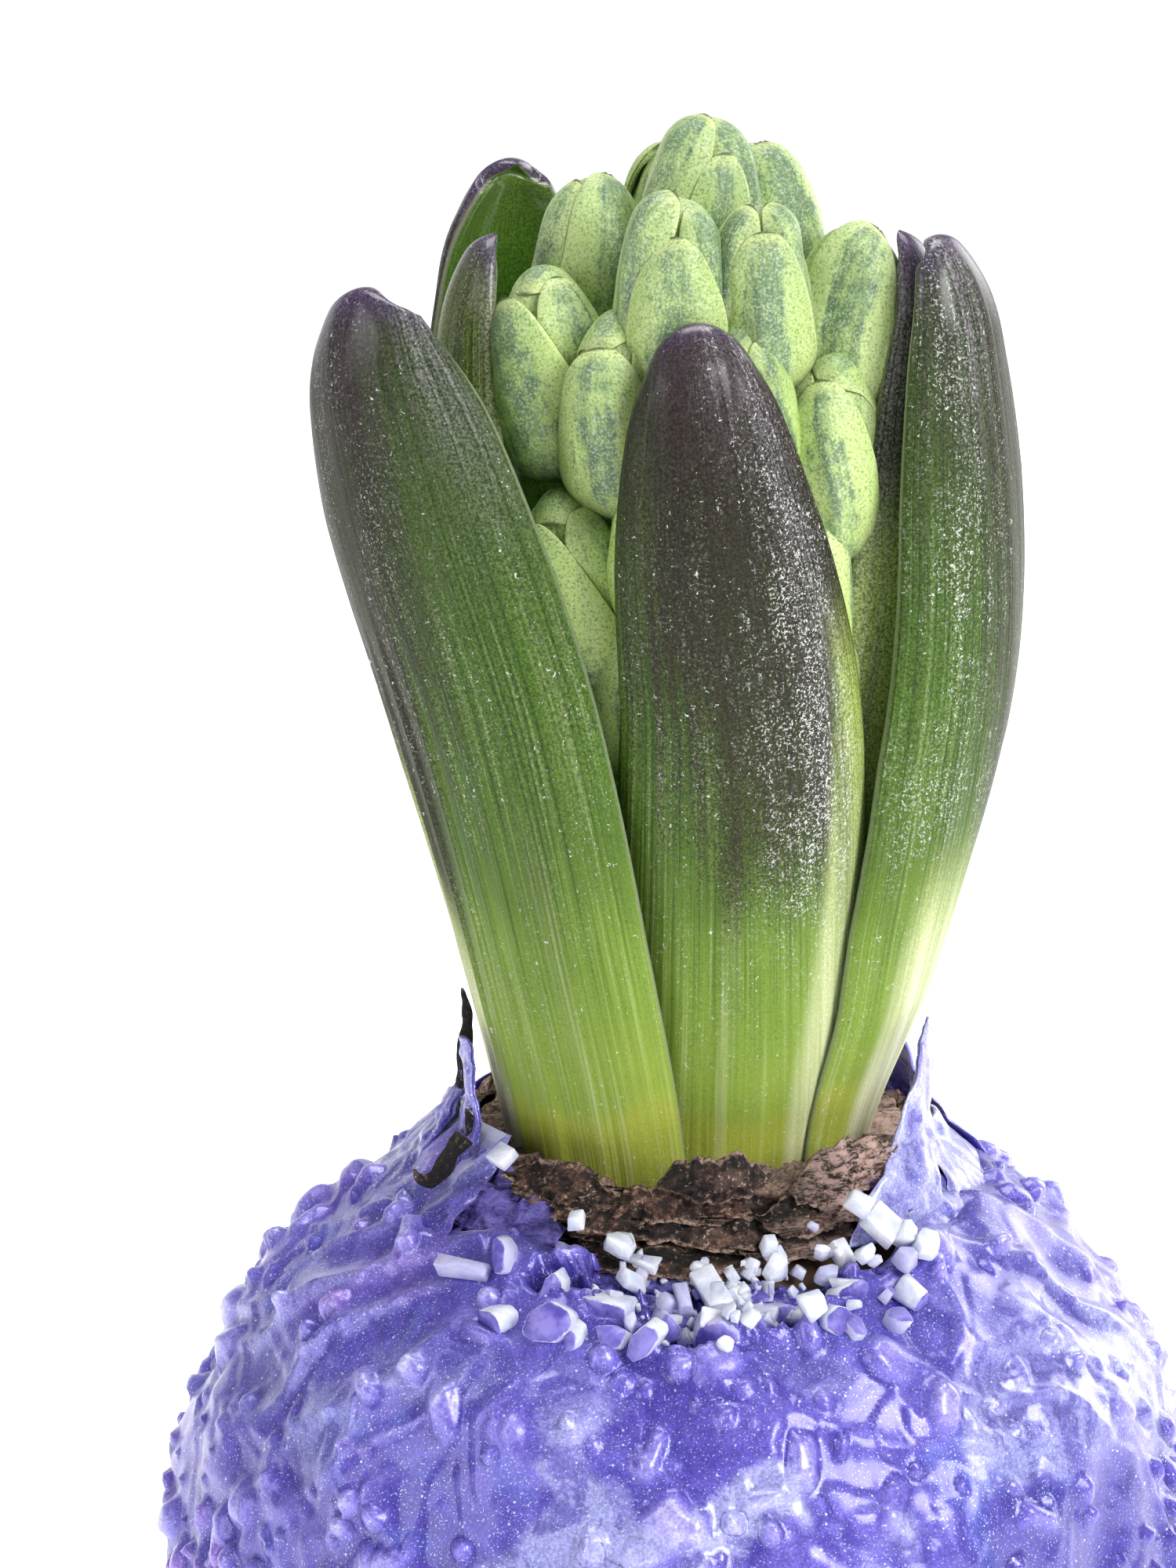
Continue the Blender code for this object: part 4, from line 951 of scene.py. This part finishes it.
def bud_finish():
    """Bud: yellow-green tepals, mottled blue-green up their middles and duller towards the top of the spike, pale
    near the margins with a painted shade line at their seams, with painted shade at the foot and painted light on
    the lowest buds, and a grainy bloom."""
    f = Finish("bud_skin")
    across, along, rise = f.away(f.layer("across")), f.layer("along"), f.layer("rise")
    kind = f.layer("kind")
    streak = f.vector(f.times(f.layer("across"), 4.5), f.times(along, 2.4), f.times(kind, 40.0))
    streak = f.noise(streak, 1.0, 4, 0.65)
    mottle = f.noise(f.object, 900, 5, 0.68)
    grain = f.noise(f.object, 6400, 2, 0.6)
    fresh = f.ramp(along, (0.0, 172, 190, 92), (0.45, 186, 212, 112), (0.8, 180, 206, 116), (1.0, 146, 172, 116))
    fresh = f.tint(fresh, f.remap(kind, 0.0, 1.0, 0.0, 0.6), 200, 218, 150)
    fresh = f.tint(fresh, f.remap(rise, 0.3, 1.0, 0.0, 0.45), 150, 172, 124)
    cool = f.times(f.remap(across, 0.85, 0.05), f.remap(rise, 0.0, 1.0, 0.55, 0.85))
    cool = f.remap(f.plus(cool, f.off(streak, 1.8), f.off(mottle, 1.5)), 0.3, 0.95)
    cool = f.times(cool, f.math("SUBTRACT", 1.0, f.times(f.layer("inner"), 0.6)))
    base = f.tint(fresh, f.times(cool, 0.88), 106, 134, 98)
    deep = f.times(f.remap(cool, 0.5, 0.95), f.remap(streak, 0.48, 0.72), f.remap(mottle, 0.4, 0.6))
    base = f.tint(base, f.times(deep, 0.85), 74, 98, 84)
    edge = f.larger(f.remap(across, 0.84, 0.95), f.remap(along, 0.9, 0.97))
    base = f.tint(base, f.times(edge, 0.55), 212, 226, 144)
    bloom = f.times(f.remap(grain, 0.50, 0.64), f.remap(f.noise(f.object, 420, 2, 0.5), 0.2, 0.6, 0.3, 1.0))
    base = f.tint(base, f.times(bloom, 0.42), 222, 232, 206)
    base = f.tint(base, f.remap(grain, 0.46, 0.34, 0.0, 0.6), 84, 110, 72)
    # painted shade: a dark line along the seams where the tepals overlap
    seam = f.larger(f.remap(across, 0.97, 0.99), f.remap(along, 0.98, 0.994))
    base = f.tint(base, f.times(seam, 0.85), 58, 78, 42)
    # painted shade darkens the foot of each tepal, and painted light brightens the lowest buds
    base = f.dimmed(base, f.times(f.remap(along, 0.0, 0.34, 0.42, 1.0), f.remap(rise, 0.1, 0.65, 1.3, 0.98)))
    normal = f.bump(grain, 0.035, 0.5, f.bump(streak, 0.12, 0.35))
    return f.shade(Base_Color=base, Roughness=0.5, Normal=normal, Specular_IOR_Level=0.36,
                   Subsurface_Weight=0.08, Subsurface_Radius=(0.8, 1.0, 0.5), Subsurface_Scale=0.0008)


def stalk_skin():
    """The stalk and the feet of the buds round it: a turned profile, lumpy where the buds sit."""
    profile = ((0.4, 112.6), (2.6, 111.4), (4.6, 107), (6.2, 99), (6.2, 84), (4.6, 76), (4.0, 70),
               (4.4, WELL_FLOOR + 0.1), (0.4, WELL_FLOOR + 0.05))
    line = curve_through([(*point, 0) for point in profile], np.linspace(0, 1, 60))[::-1]
    turn = np.linspace(0, 2 * math.pi, 40, endpoint=False)
    radius = np.maximum(line[:, :1], 0.2) * (1 + 0.05 * np.sin(6 * turn + line[:, 1:2] * 0.8))
    rings = np.stack([radius * np.cos(turn) + AXIS_X, radius * np.sin(turn), line[:, 1:2] + 0 * turn], axis=-1)
    return loft(rings, across=0.5, along=0.3, outer=1.0, inner=1.0, kind=0.3, rise=0.2)


# ---------------------------------------------------------------- the dry tunic

TUNIC_SHEETS = (
    # foot, middle and top as (reach, height), middle azimuth, half of its width in degrees, how ragged, how much
    # higher its left end stands than its right, how waxed
    ((14.2, 53.0), (13.6, 55.4), (12.9, 57.8), 180, 180, 0.8, 0, 0.0),
    ((15.0, 52.7), (14.5, 54.6), (13.8, 56.4), 176, 180, 0.9, 0, 0.0),
    ((14.9, 57.3), (15.4, 58.5), (14.7, 59.9), 6, 13, 0.7, -0.2, 0.0),
    ((15.5, 56.4), (14.8, 57.5), (13.8, 58.7), -31, 15, 0.7, 1.0, 0.15),
    ((17.6, 53.8), (16.7, 55.2), (15.2, 56.8), -42, 15, 0.5, 0.4, 1.0),
    ((15.3, 56.2), (14.7, 57.0), (13.9, 57.8), -8, 22, 0.7, 0.3, 0.0),
    ((16.5, 55.1), (15.5, 56.0), (14.3, 56.8), -4, 25, 0.4, 1.5, 0.0),
    ((15.8, 54.5), (15.1, 55.0), (14.4, 55.6), -2, 26, 0.6, 0.6, 0.0),
    ((17.3, 53.3), (16.5, 54.1), (15.3, 54.9), -10, 22, 0.4, 0.3, 0.05),
    ((18.1, 52.3), (17.3, 53.1), (16.1, 53.9), -17, 20, 0.4, 0.3, 0.95),
    ((15.8, 56.9), (15.4, 58.2), (14.6, 59.9), 38, 14, 0.7, -2.0, 0.2),
    ((16.2, 55.4), (15.4, 56.3), (14.2, 57.2), 34, 18, 0.6, -0.6, 0.0),
    ((17.0, 54.0), (16.2, 54.8), (15.0, 55.6), 30, 20, 0.5, -0.4, 0.0),
    ((15.8, 55.2), (15.2, 57.0), (14.2, 58.6), -58, 18, 0.7, 0.6, 0.95),
    ((16.2, 55.2), (15.4, 56.6), (14.1, 57.8), 108, 34, 0.8, 0.8, 0.1),
    ((16.2, 55.0), (15.4, 56.4), (14.1, 57.6), 178, 36, 0.8, -0.8, 0.3),
    ((16.2, 55.2), (15.4, 56.6), (14.1, 57.8), -118, 30, 0.8, 0.4, 0.1),
)
OPEN_TOP = 57.3  # a sheet that ends below this height lies in the folds of those above it, and gets painted shade there
TUNIC_SHREDS = (
    # the places that it runs through, half of its width, seed
    (((16.0, -57, 59.4), (16.6, -59, 58.4), (17.2, -60, 57.2), (18.0, -61, 56.6), (18.4, -64, 57.2)), 0.6, 1),
    (((13.9, -77, 60.8), (13.9, -77, 63.2), (13.6, -79, 65.2), (13.9, -80, 67.0)), 0.5, 2),
    (((14.6, -66, 57.2), (14.5, -64, 59), (14.7, -66, 60.4)), 0.5, 3),
)


def tunic_skin(foot, middle, top, azimuth, half_width, ragged, slope, waxed, seed):
    """One torn sheet of tunic: it runs from its foot to its torn top round part of the neck, crumpled by ridges
    that run round it, and both of its edges are cut by noise of three sizes. Where it doesn't close on itself, it
    thins and comes together at both ends. A whole ring's top dips
    at the front."""
    columns, rows = int(60 + 1.4 * half_width), 22
    whole = half_width == 180
    across = np.linspace(-1, 1, columns)
    turn = np.radians(azimuth + half_width * across)
    ring = round_axis(14, turn, 0)
    tear = ragged * (0.9 * noise(ring, 3.6, seed) + 0.8 * noise(ring, 1.3, seed + 1) + 0.7 * noise(ring, 0.5, 9))
    under = ragged * (0.6 * noise(ring, 2.4, seed + 3) + 0.6 * noise(ring, 0.8, seed + 4) + 0.4 * noise(ring, 0.4, 8))
    close = np.ones(columns) if whole else np.clip((1 - np.abs(across)) * half_width / 6, 0, 1)
    dip = 1.7 * bell((np.degrees(turn) + 8 + 180) % 360 - 180, 26) if whole else 0
    up = np.linspace(0, 1, rows)[:, None]
    path = curve_through([(*foot, 0), (*middle, 0), (*top, 0)], up[:, 0] * ALMOST_END)
    reach, height = path[:, :1], path[:, 1:2]
    height = height + up**1.5 * (tear - dip) + (1 - up) ** 2 * under - slope * across / 2
    height = height - (up - 0.5) * (1 - close) * (top[1] - foot[1]) * 0.8
    spot = round_axis(reach, turn, height)
    crumple = 0.34 * (1 - 2.6 * np.abs(noise(spot * (0.6, 0.6, 1.0), 1.1, seed + 5)))
    crumple += 0.16 * (1 - 2.6 * np.abs(noise(spot, 0.5, seed + 6))) + 0.5 * noise(ring, 3.0, seed + 7)
    reach = reach + crumple * (0.5 + 0.5 * (1 - up)) + up**3 * (0.4 + noise(ring, 1.6, seed + 8))
    centre = round_axis(reach, turn, height)
    thin = 0.13 * np.sqrt(np.clip((1 - up) / 0.05, 0.1, 1)) + 0 * across
    if not whole:
        thin = thin * np.sqrt(np.clip(1 - np.abs(across) ** 10, 0.02, 1))
    ridge = np.concatenate([crumple, crumple[:, ::-1]], axis=1)
    # painted shade: a low sheet darkens towards its top, under the sheets above
    hollow = smooth_step((up - 0.25) / 0.5) if top[1] < OPEN_TOP else 0
    return loft(sheet_rings(centre, turn, thin), ridge=ridge, rise=up, waxed=waxed, hollow=hollow)


def shred_skin(path, width, seed):
    """A curled flake: a flat strip along a path, uneven in width and pointed at its end, as thin as a sheet and
    bent across."""
    rows, around = 40, 16
    along = np.linspace(0, 1, rows)
    centre = curve_through([place(*spot) for spot in path], np.minimum(along, ALMOST_END))
    tangent = normalized(np.gradient(centre, axis=0))
    side = normalized(np.cross(tangent, [0.2, 0.9, 0.35]))[:, None]
    up = np.cross(side, tangent[:, None])
    turn = np.linspace(0, 2 * math.pi, around, endpoint=False)
    size = width * np.sqrt(np.clip(1 - along**2.5, 0.01, 1)) * (1 + 0.45 * noise(centre, 1.1, seed))
    wide = (size[:, None] * np.cos(turn))[..., None]
    strip = centre[:, None] + side * wide
    bent = 0.14 * np.sin(turn)[None, :, None] + 0.25 * wide**2 + 0.1 * noise(strip, 0.5, seed)[..., None]
    return loft(strip + up * bent, ridge=0.1 + 0.3 * np.sin(turn), rise=0.15 + 0.8 * along[:, None], waxed=0.1,
                hollow=0.0)


def tunic_finish():
    """Dry bulb skin: near black in blots and in the folds, where part of the dark is painted shade, with painted
    shade under the sheets that overhang the low ones, rusty brown on the ridges, paler on the right where it is
    worn and has a painted sheen, fibrous, with pale pink scuffs, and violet where wax ran over it."""
    f = Finish("dry_tunic_skin")
    stretched = f.add("ShaderNodeMapping", {"Vector": f.object, "Scale": (1.0, 1.0, 2.6)}).outputs[0]
    fibre = f.noise(stretched, 1100, 5, 0.75, 0.6)
    patch = f.noise(f.object, 420, 3, 0.6)
    bark = f.noise(f.object, 3000, 3, 0.75)
    rise, right = f.layer("rise"), f.add("ShaderNodeSeparateXYZ", {0: f.object}).outputs[0]
    # the ridge layer paints shade in the folds and light on the crests, over the fibre and bark
    value = f.plus(f.times(f.layer("ridge"), 0.4), f.times(fibre, 0.55),
                   f.times(f.math("SUBTRACT", bark, 0.4), 0.9))
    base = f.ramp(value, (0.24, 12, 8, 7), (0.44, 42, 28, 23), (0.62, 98, 70, 57), (0.9, 176, 146, 128))
    # painted shade under the sheets above, and dark blots from the patch noise
    light = f.remap(f.plus(f.layer("hollow"), f.off(patch, 1.0)), 0.06, 0.6, 1.0, 0.1)
    base = f.dimmed(base, light)
    rim = f.larger(f.remap(rise, 0.14, 0.02), f.remap(rise, 0.9, 0.98))
    base = f.tint(base, f.times(rim, f.remap(bark, 0.4, 0.56, 0.1, 0.8)), 186, 156, 138)
    base = f.tint(base, f.times(f.remap(patch, 0.54, 0.7), 0.5), 132, 104, 92)
    # paler on the right: worn fibres and a painted sheen where the light falls
    worn = f.times(f.remap(right, 0.003, 0.011), f.remap(fibre, 0.42, 0.58), light)
    base = f.tint(base, worn, 198, 168, 158)
    scuff = f.times(f.remap(bark, 0.58, 0.68), f.remap(patch, 0.42, 0.64, 0.08, 1.0))
    base = f.tint(base, scuff, 206, 184, 168)
    wet = f.remap(f.plus(f.layer("waxed"), f.off(patch, 1.0)), 0.3, 0.5)
    violet = f.blend(f.remap(fibre, 0.35, 0.65), srgb(66, 54, 140), srgb(128, 120, 204))
    base = f.blend(f.times(wet, 0.92), base, violet)
    return f.shade(Base_Color=base, Roughness=f.math("SUBTRACT", 0.7, f.times(wet, 0.35)),
                   Normal=f.bump(bark, 0.12, 0.9, f.bump(fibre, 0.3, 0.9)), Specular_IOR_Level=0.4)


# ---------------------------------------------------------------- the crumbs

def crumb_skin(centre, axes, half, sides, lean, coat, seed):
    """A broken crumb: a prism on an uneven polygon, with its edges cut off, its top tilted and its walls leaning.
    axes are its two level directions and its upright one, and half its half sizes along them. coat is how much of
    its top face is coloured wax."""
    draw = np.random.default_rng(seed)
    angle = (np.arange(sides) + draw.uniform(-0.3, 0.3, sides)) / sides * 2 * math.pi
    radius = draw.uniform(0.72, 1.12, sides)
    corner = np.stack([np.cos(angle), np.sin(angle)], -1)
    if sides == 4:
        corner, radius = np.array([(1.0, 1.0), (-1.0, 1.0), (-1.0, -1.0), (1.0, -1.0)]), 0.9 + 0.15 * radius
    corner = corner * radius[:, None] * half[:2]
    cut = 0.16 * min(half)
    to_last = normalized(np.roll(corner, 1, axis=0) - corner)
    to_next = normalized(np.roll(corner, -1, axis=0) - corner)
    outline = np.stack([corner + cut * to_last, corner + cut * to_next], axis=1).reshape(-1, 2)
    skew = draw.normal(0, lean, 2) * half[2]
    tilt = draw.normal(0, 0.22, 2)
    top_scale = draw.uniform(0.7, 1.0)
    rings = []
    for height, inset in ((-1, cut), (-1, 0), (0, 0), (1, 0), (1, cut)):
        share = (height + 1) / 2
        flat = outline * (1 + (top_scale - 1) * share) * (1 - inset / np.linalg.norm(outline, axis=1, keepdims=True))
        flat = flat + skew * share
        level = height * (half[2] - (cut if inset == 0 else 0)) + max(height, 0) * (flat @ tilt)
        rings.append(np.concatenate([flat, (level + 0 * flat[:, 0])[:, None]], axis=1))
    rings = np.array(rings) @ np.asarray(axes) + centre
    coated = np.array([0, 0, 0, 0.5, 1])[:, None] * coat
    return loft(rings, shade=draw.random(), coat=coated)


def crumb_axes(out, spin, tip, draw):
    """Level, sloping and outward directions over a place on the wax, spun about the way out and tipped."""
    level = normalized(np.cross([0, 0, 1.0], out))
    slope = np.cross(out, level)
    first = level * math.cos(math.radians(spin)) + slope * math.sin(math.radians(spin))
    upright = normalized(out + tip * draw.normal(size=3))
    first = normalized(first - upright * (first @ upright))
    return np.array([first, np.cross(upright, first), upright])


CRUMBS = (
    # reach, azimuth, how far its middle stands off the wax, half sizes, sides, spin, how much coloured wax it has
    (21.0, -39, 0.5, (1.6, 0.48, 0.45), 4, 10, 0.0), (15.2, -43, 3.0, (0.65, 0.7, 0.4), 4, 80, 0.0),
    (17.9, -21, 1.5, (0.5, 0.55, 0.45), 4, 10, 0.0), (17.6, -14, 1.8, (1.05, 1.2, 0.4), 7, 60, 0.0),
    (17.4, -10, 0.9, (0.4, 0.3, 0.3), 5, 60, 0.0), (17.6, 16, 1.9, (0.45, 0.5, 0.5), 4, 0, 0.0),
    (18.6, 17, 1.1, (1.15, 0.9, 0.5), 7, 20, 0.0), (17.6, 33, 1.8, (0.7, 0.8, 0.5), 4, 40, 0.0),
    (18.6, 37, 1.2, (0.9, 1.1, 0.5), 4, 30, 0.35), (19.4, 40, 1.1, (1.2, 0.8, 0.5), 6, 50, 0.3),
    (20.4, 41, 1.0, (1.1, 1.1, 0.6), 7, 10, 0.0), (20.6, 37, 1.0, (0.9, 1.0, 0.6), 6, 30, 0.0),
    (18.6, 30, 1.2, (0.55, 0.9, 0.4), 4, 10, 0.0), (19.8, 31, 0.9, (0.75, 0.7, 0.5), 6, 0, 0.0),
    (19.6, 26, 0.9, (0.9, 0.6, 0.5), 6, 0, 0.0), (19.6, 4, 1.1, (0.75, 1.5, 0.55), 4, 24, 0.2),
    (20.2, -1, 1.0, (0.45, 1.1, 0.45), 4, 12, 0.0), (20.6, 9, 0.9, (0.4, 0.6, 0.4), 5, 70, 0.0),
    (21.6, 12, 0.7, (0.5, 0.9, 0.4), 4, 60, 0.0), (21.8, 18, 0.7, (0.8, 0.6, 0.4), 5, 0, 0.0),
    (22.4, -9, 0.6, (0.4, 0.6, 0.4), 6, 0, 0.0), (23.6, 5, 0.3, (0.6, 0.5, 0.4), 7, 0, 0.0),
    (21.0, -14.3, 0.4, (1.5, 1.2, 1.2), 4, -8, 1.0), (21.6, -4.5, 0.3, (1.2, 1.5, 1.2), 6, 20, 1.0),
    (22.3, 4, 0.2, (1.9, 1.6, 1.2), 8, 30, 1.0), (21.3, 14.6, 0.3, (1.8, 1.2, 1.2), 7, 10, 1.0),
    (22.7, -20.7, 0.2, (1.7, 1.4, 1.0), 7, 40, 1.0), (20.5, -23, 0.6, (0.7, 1.4, 0.9), 7, -15, 1.0),
    (21.0, 27, 0.3, (1.3, 0.9, 1.0), 6, 15, 1.0), (22.6, 22, 0.1, (1.2, 1.2, 0.9), 7, 0, 1.0),
    (19.6, -33, 0.5, (0.9, 1.6, 0.8), 7, 20, 1.0),
)
SMALL_CRUMBS = 110
SLABS = 14


def crumb_skins():
    """The crumbs: the large ones as listed, small ones scattered over the torn place at the front, and slabs of
    coloured wax with broken white rims round it."""
    draw = np.random.default_rng(17)
    skins = []
    for index, (reach, azimuth, lift, half, sides, spin, coat) in enumerate(CRUMBS):
        surface, out = wax_surface(reach, azimuth)
        if coat == 1:
            out = normalized(out * (1, 1, 0.12))
        axes = crumb_axes(out, spin, 0.12, draw)
        skins.append(crumb_skin(surface + out * lift, axes, half, sides, 0.12, coat, index + 300))
    for index in range(SMALL_CRUMBS):
        surface, out = wax_surface(draw.uniform(17.6, 22.4), draw.normal(7, 11))
        half = (0.2 + 0.6 * draw.random() ** 2) * draw.uniform(0.6, 1.4, 3)
        axes = crumb_axes(out, draw.uniform(0, 180), 0.7, draw)
        skins.append(crumb_skin(surface + out * (0.2 + draw.uniform(0, 0.5)), axes, half, int(draw.integers(4, 8)),
                                0.3, float(draw.random() < 0.12), index + 500))
    for index in range(SLABS):
        surface, out = wax_surface(draw.uniform(20.0, 23.4), -30 + 5.0 * index + draw.normal(0, 1.5))
        out = normalized(out * (1, 1, 0.2))
        half = np.array([draw.uniform(0.7, 1.5), draw.uniform(0.6, 1.2), draw.uniform(0.6, 1.0)])
        axes = crumb_axes(out, draw.uniform(0, 180), 0.25, draw)
        skins.append(crumb_skin(surface + out * draw.uniform(-0.1, 0.4), axes, half, int(draw.integers(5, 8)), 0.3, 1.0,
                                index + 800))
    return skins


def crumb_finish():
    """Bare wax crumbs: bluish white, faintly see-through, with coloured wax on some of their faces."""
    f = Finish("white_wax_crumb")
    soft = f.remap(f.noise(f.object, 700, 3, 0.6), 0.35, 0.65)
    rough = f.noise(f.object, 2600, 3, 0.6)
    base = f.blend(soft, srgb(236, 238, 246), srgb(200, 206, 230))
    base = f.tint(base, f.times(f.remap(f.layer("shade"), 0.55, 1.0), 0.6), 160, 152, 214)
    violet = f.blend(soft, srgb(84, 72, 168), srgb(138, 128, 206))
    base = f.blend(f.remap(f.plus(f.layer("coat"), f.off(rough, 0.8)), 0.45, 0.75), base, violet)
    return f.shade(Base_Color=base, Roughness=0.36, Normal=f.bump(rough, 0.08, 0.7), Specular_IOR_Level=0.5,
                   Subsurface_Weight=0.25, Subsurface_Radius=(1.0, 1.0, 1.3), Subsurface_Scale=0.0008)


def flesh_finish():
    """The bulb's own flesh, in the neck: brown, with darker blots."""
    f = Finish("bulb_flesh_skin")
    patch = f.noise(f.object, 300, 4, 0.6)
    base = f.blend(f.remap(patch, 0.4, 0.65), srgb(112, 84, 58), srgb(66, 46, 36))
    return f.shade(Base_Color=base, Roughness=0.7, Normal=f.bump(patch, 0.3, 0.6))


# ---------------------------------------------------------------- building

wax = wax_finish()
make_piece("wax_ball", wax_skin(), wax, "wax", "wax_coat")
make_piece("wax_flaps", gather([flap_skin(*flap) for flap in WAX_FLAPS]), wax, "wax")
leaf_material = leaf_finish()
for node, leaf in LEAVES.items():
    make_piece(node + "_blade", leaf_skin(node, leaf), leaf_material, "leaf", node)
bud_material = bud_finish()
buds = [skin for index, bud in enumerate(BUDS) for skin in bud_skins(bud, index)]
make_piece("upper_buds", gather(buds[:len(buds) // 2]), bud_material, "bud", "flower_head")
make_piece("lower_buds", gather(buds[len(buds) // 2:]), bud_material, "bud")
make_piece("flower_stalk", stalk_skin(), bud_material, "bud")
sheets = [tunic_skin(*sheet, index * 10 + 3) for index, sheet in enumerate(TUNIC_SHEETS)]
shreds = [shred_skin(*shred) for shred in TUNIC_SHREDS]
make_piece("tunic_sheets", gather(sheets + shreds), tunic_finish(), "dry_tunic", "tunic")
make_piece("wax_crumbs", gather(crumb_skins()), crumb_finish(), "white_wax", "crumbs")
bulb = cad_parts["bulb"]
bulb.data.materials.clear()
bulb.data.materials.append(flesh_finish())


# ---------------------------------------------------------------- stage, light and camera

def make_stage():
    """A pale floor that sweeps up behind: flat, then risen by radius (1 - cos) over a quarter turn, then a slope
    that levels off."""
    rows, columns, flat, radius = 60, 3, 2200, 1200
    along = np.linspace(-1200, 4200, rows)
    bend = np.clip((along - flat) / radius, 0, 1.2)
    height = radius * (1 - np.cos(np.clip(bend, 0, 1) * math.pi / 2)) + 1800 * np.maximum(bend - 1, 0)
    side = np.linspace(-4000, 4000, columns)
    points = np.stack(np.broadcast_arrays(side[None, :], along[:, None], height[:, None]), axis=-1).reshape(-1, 3)
    index = np.arange(rows * columns).reshape(rows, columns)
    faces = np.stack([index[:-1, :-1], index[:-1, 1:], index[1:, 1:], index[1:, :-1]], axis=-1).reshape(-1, 4)
    mesh = bpy.data.meshes.new("floor")
    mesh.from_pydata((points * MM).tolist(), [], faces.tolist())
    mesh.shade_smooth()
    mesh.materials.append(Finish("floor_paper").shade(
        Base_Color=(0.9, 0.9, 0.91, 1), Roughness=0.9, Specular_IOR_Level=0.1, Emission_Color=(1, 1, 1, 1),
        Emission_Strength=0.69))
    show(bpy.data.objects.new("floor", mesh))


def aim(made, at):
    made.rotation_mode = "QUATERNION"
    made.rotation_quaternion = (Vector(at) - made.location).to_track_quat("-Z", "Y")


LIGHTS = (
    # name, place, the place that it points at, width, height, power
    ("key", (420, -420, 420), (0, 0, 80), 300, 400, 4.4),
    ("fill", (-480, -260, 240), (0, 0, 80), 300, 400, 0.9),
    ("top", (0, 120, 620), (0, 0, 80), 400, 300, 2.6),
    ("rim", (380, 360, 220), (0, 0, 60), 300, 400, 1.4),
)


def make_light(name, where, at, width, height, power):
    """A soft rectangular white light."""
    data = bpy.data.lights.new(name, "AREA")
    data.shape = "RECTANGLE"
    data.size, data.size_y = width * MM, height * MM
    data.energy = power
    light = show(bpy.data.objects.new(name, data))
    light.location = [c * MM for c in where]
    aim(light, [c * MM for c in at])


def make_world():
    """An even grey light from all round, seen as white."""
    world = bpy.data.worlds.new("studio")
    world.use_nodes = True
    nodes, links = world.node_tree.nodes, world.node_tree.links
    glow, seen = nodes["Background"], nodes.new("ShaderNodeBackground")
    both, path = nodes.new("ShaderNodeMixShader"), nodes.new("ShaderNodeLightPath")
    for background, strength in ((glow, 0.18), (seen, 1.1)):
        background.inputs["Color"].default_value = (1, 1, 1, 1)
        background.inputs["Strength"].default_value = strength
    links.new(path.outputs["Is Camera Ray"], both.inputs[0])
    links.new(glow.outputs[0], both.inputs[1])
    links.new(seen.outputs[0], both.inputs[2])
    links.new(both.outputs[0], nodes["World Output"].inputs["Surface"])
    bpy.context.scene.world = world


def make_camera():
    """The camera: 14 degrees above the horizon, in front, with a long lens."""
    rise, distance, target = math.radians(14), 450, np.array([-6, 0, 79.2])
    data = bpy.data.cameras.new("camera")
    data.lens, data.sensor_width = 170, 36
    data.clip_start, data.clip_end = 0.01, 20
    camera = show(bpy.data.objects.new("camera", data))
    camera.location = (target + distance * np.array([0, -math.cos(rise), math.sin(rise)])) * MM
    aim(camera, target * MM)
    bpy.context.scene.camera = camera


make_stage()
make_world()
for light in LIGHTS:
    make_light(*light)
make_camera()
bpy.context.scene.view_settings.view_transform = "Standard"
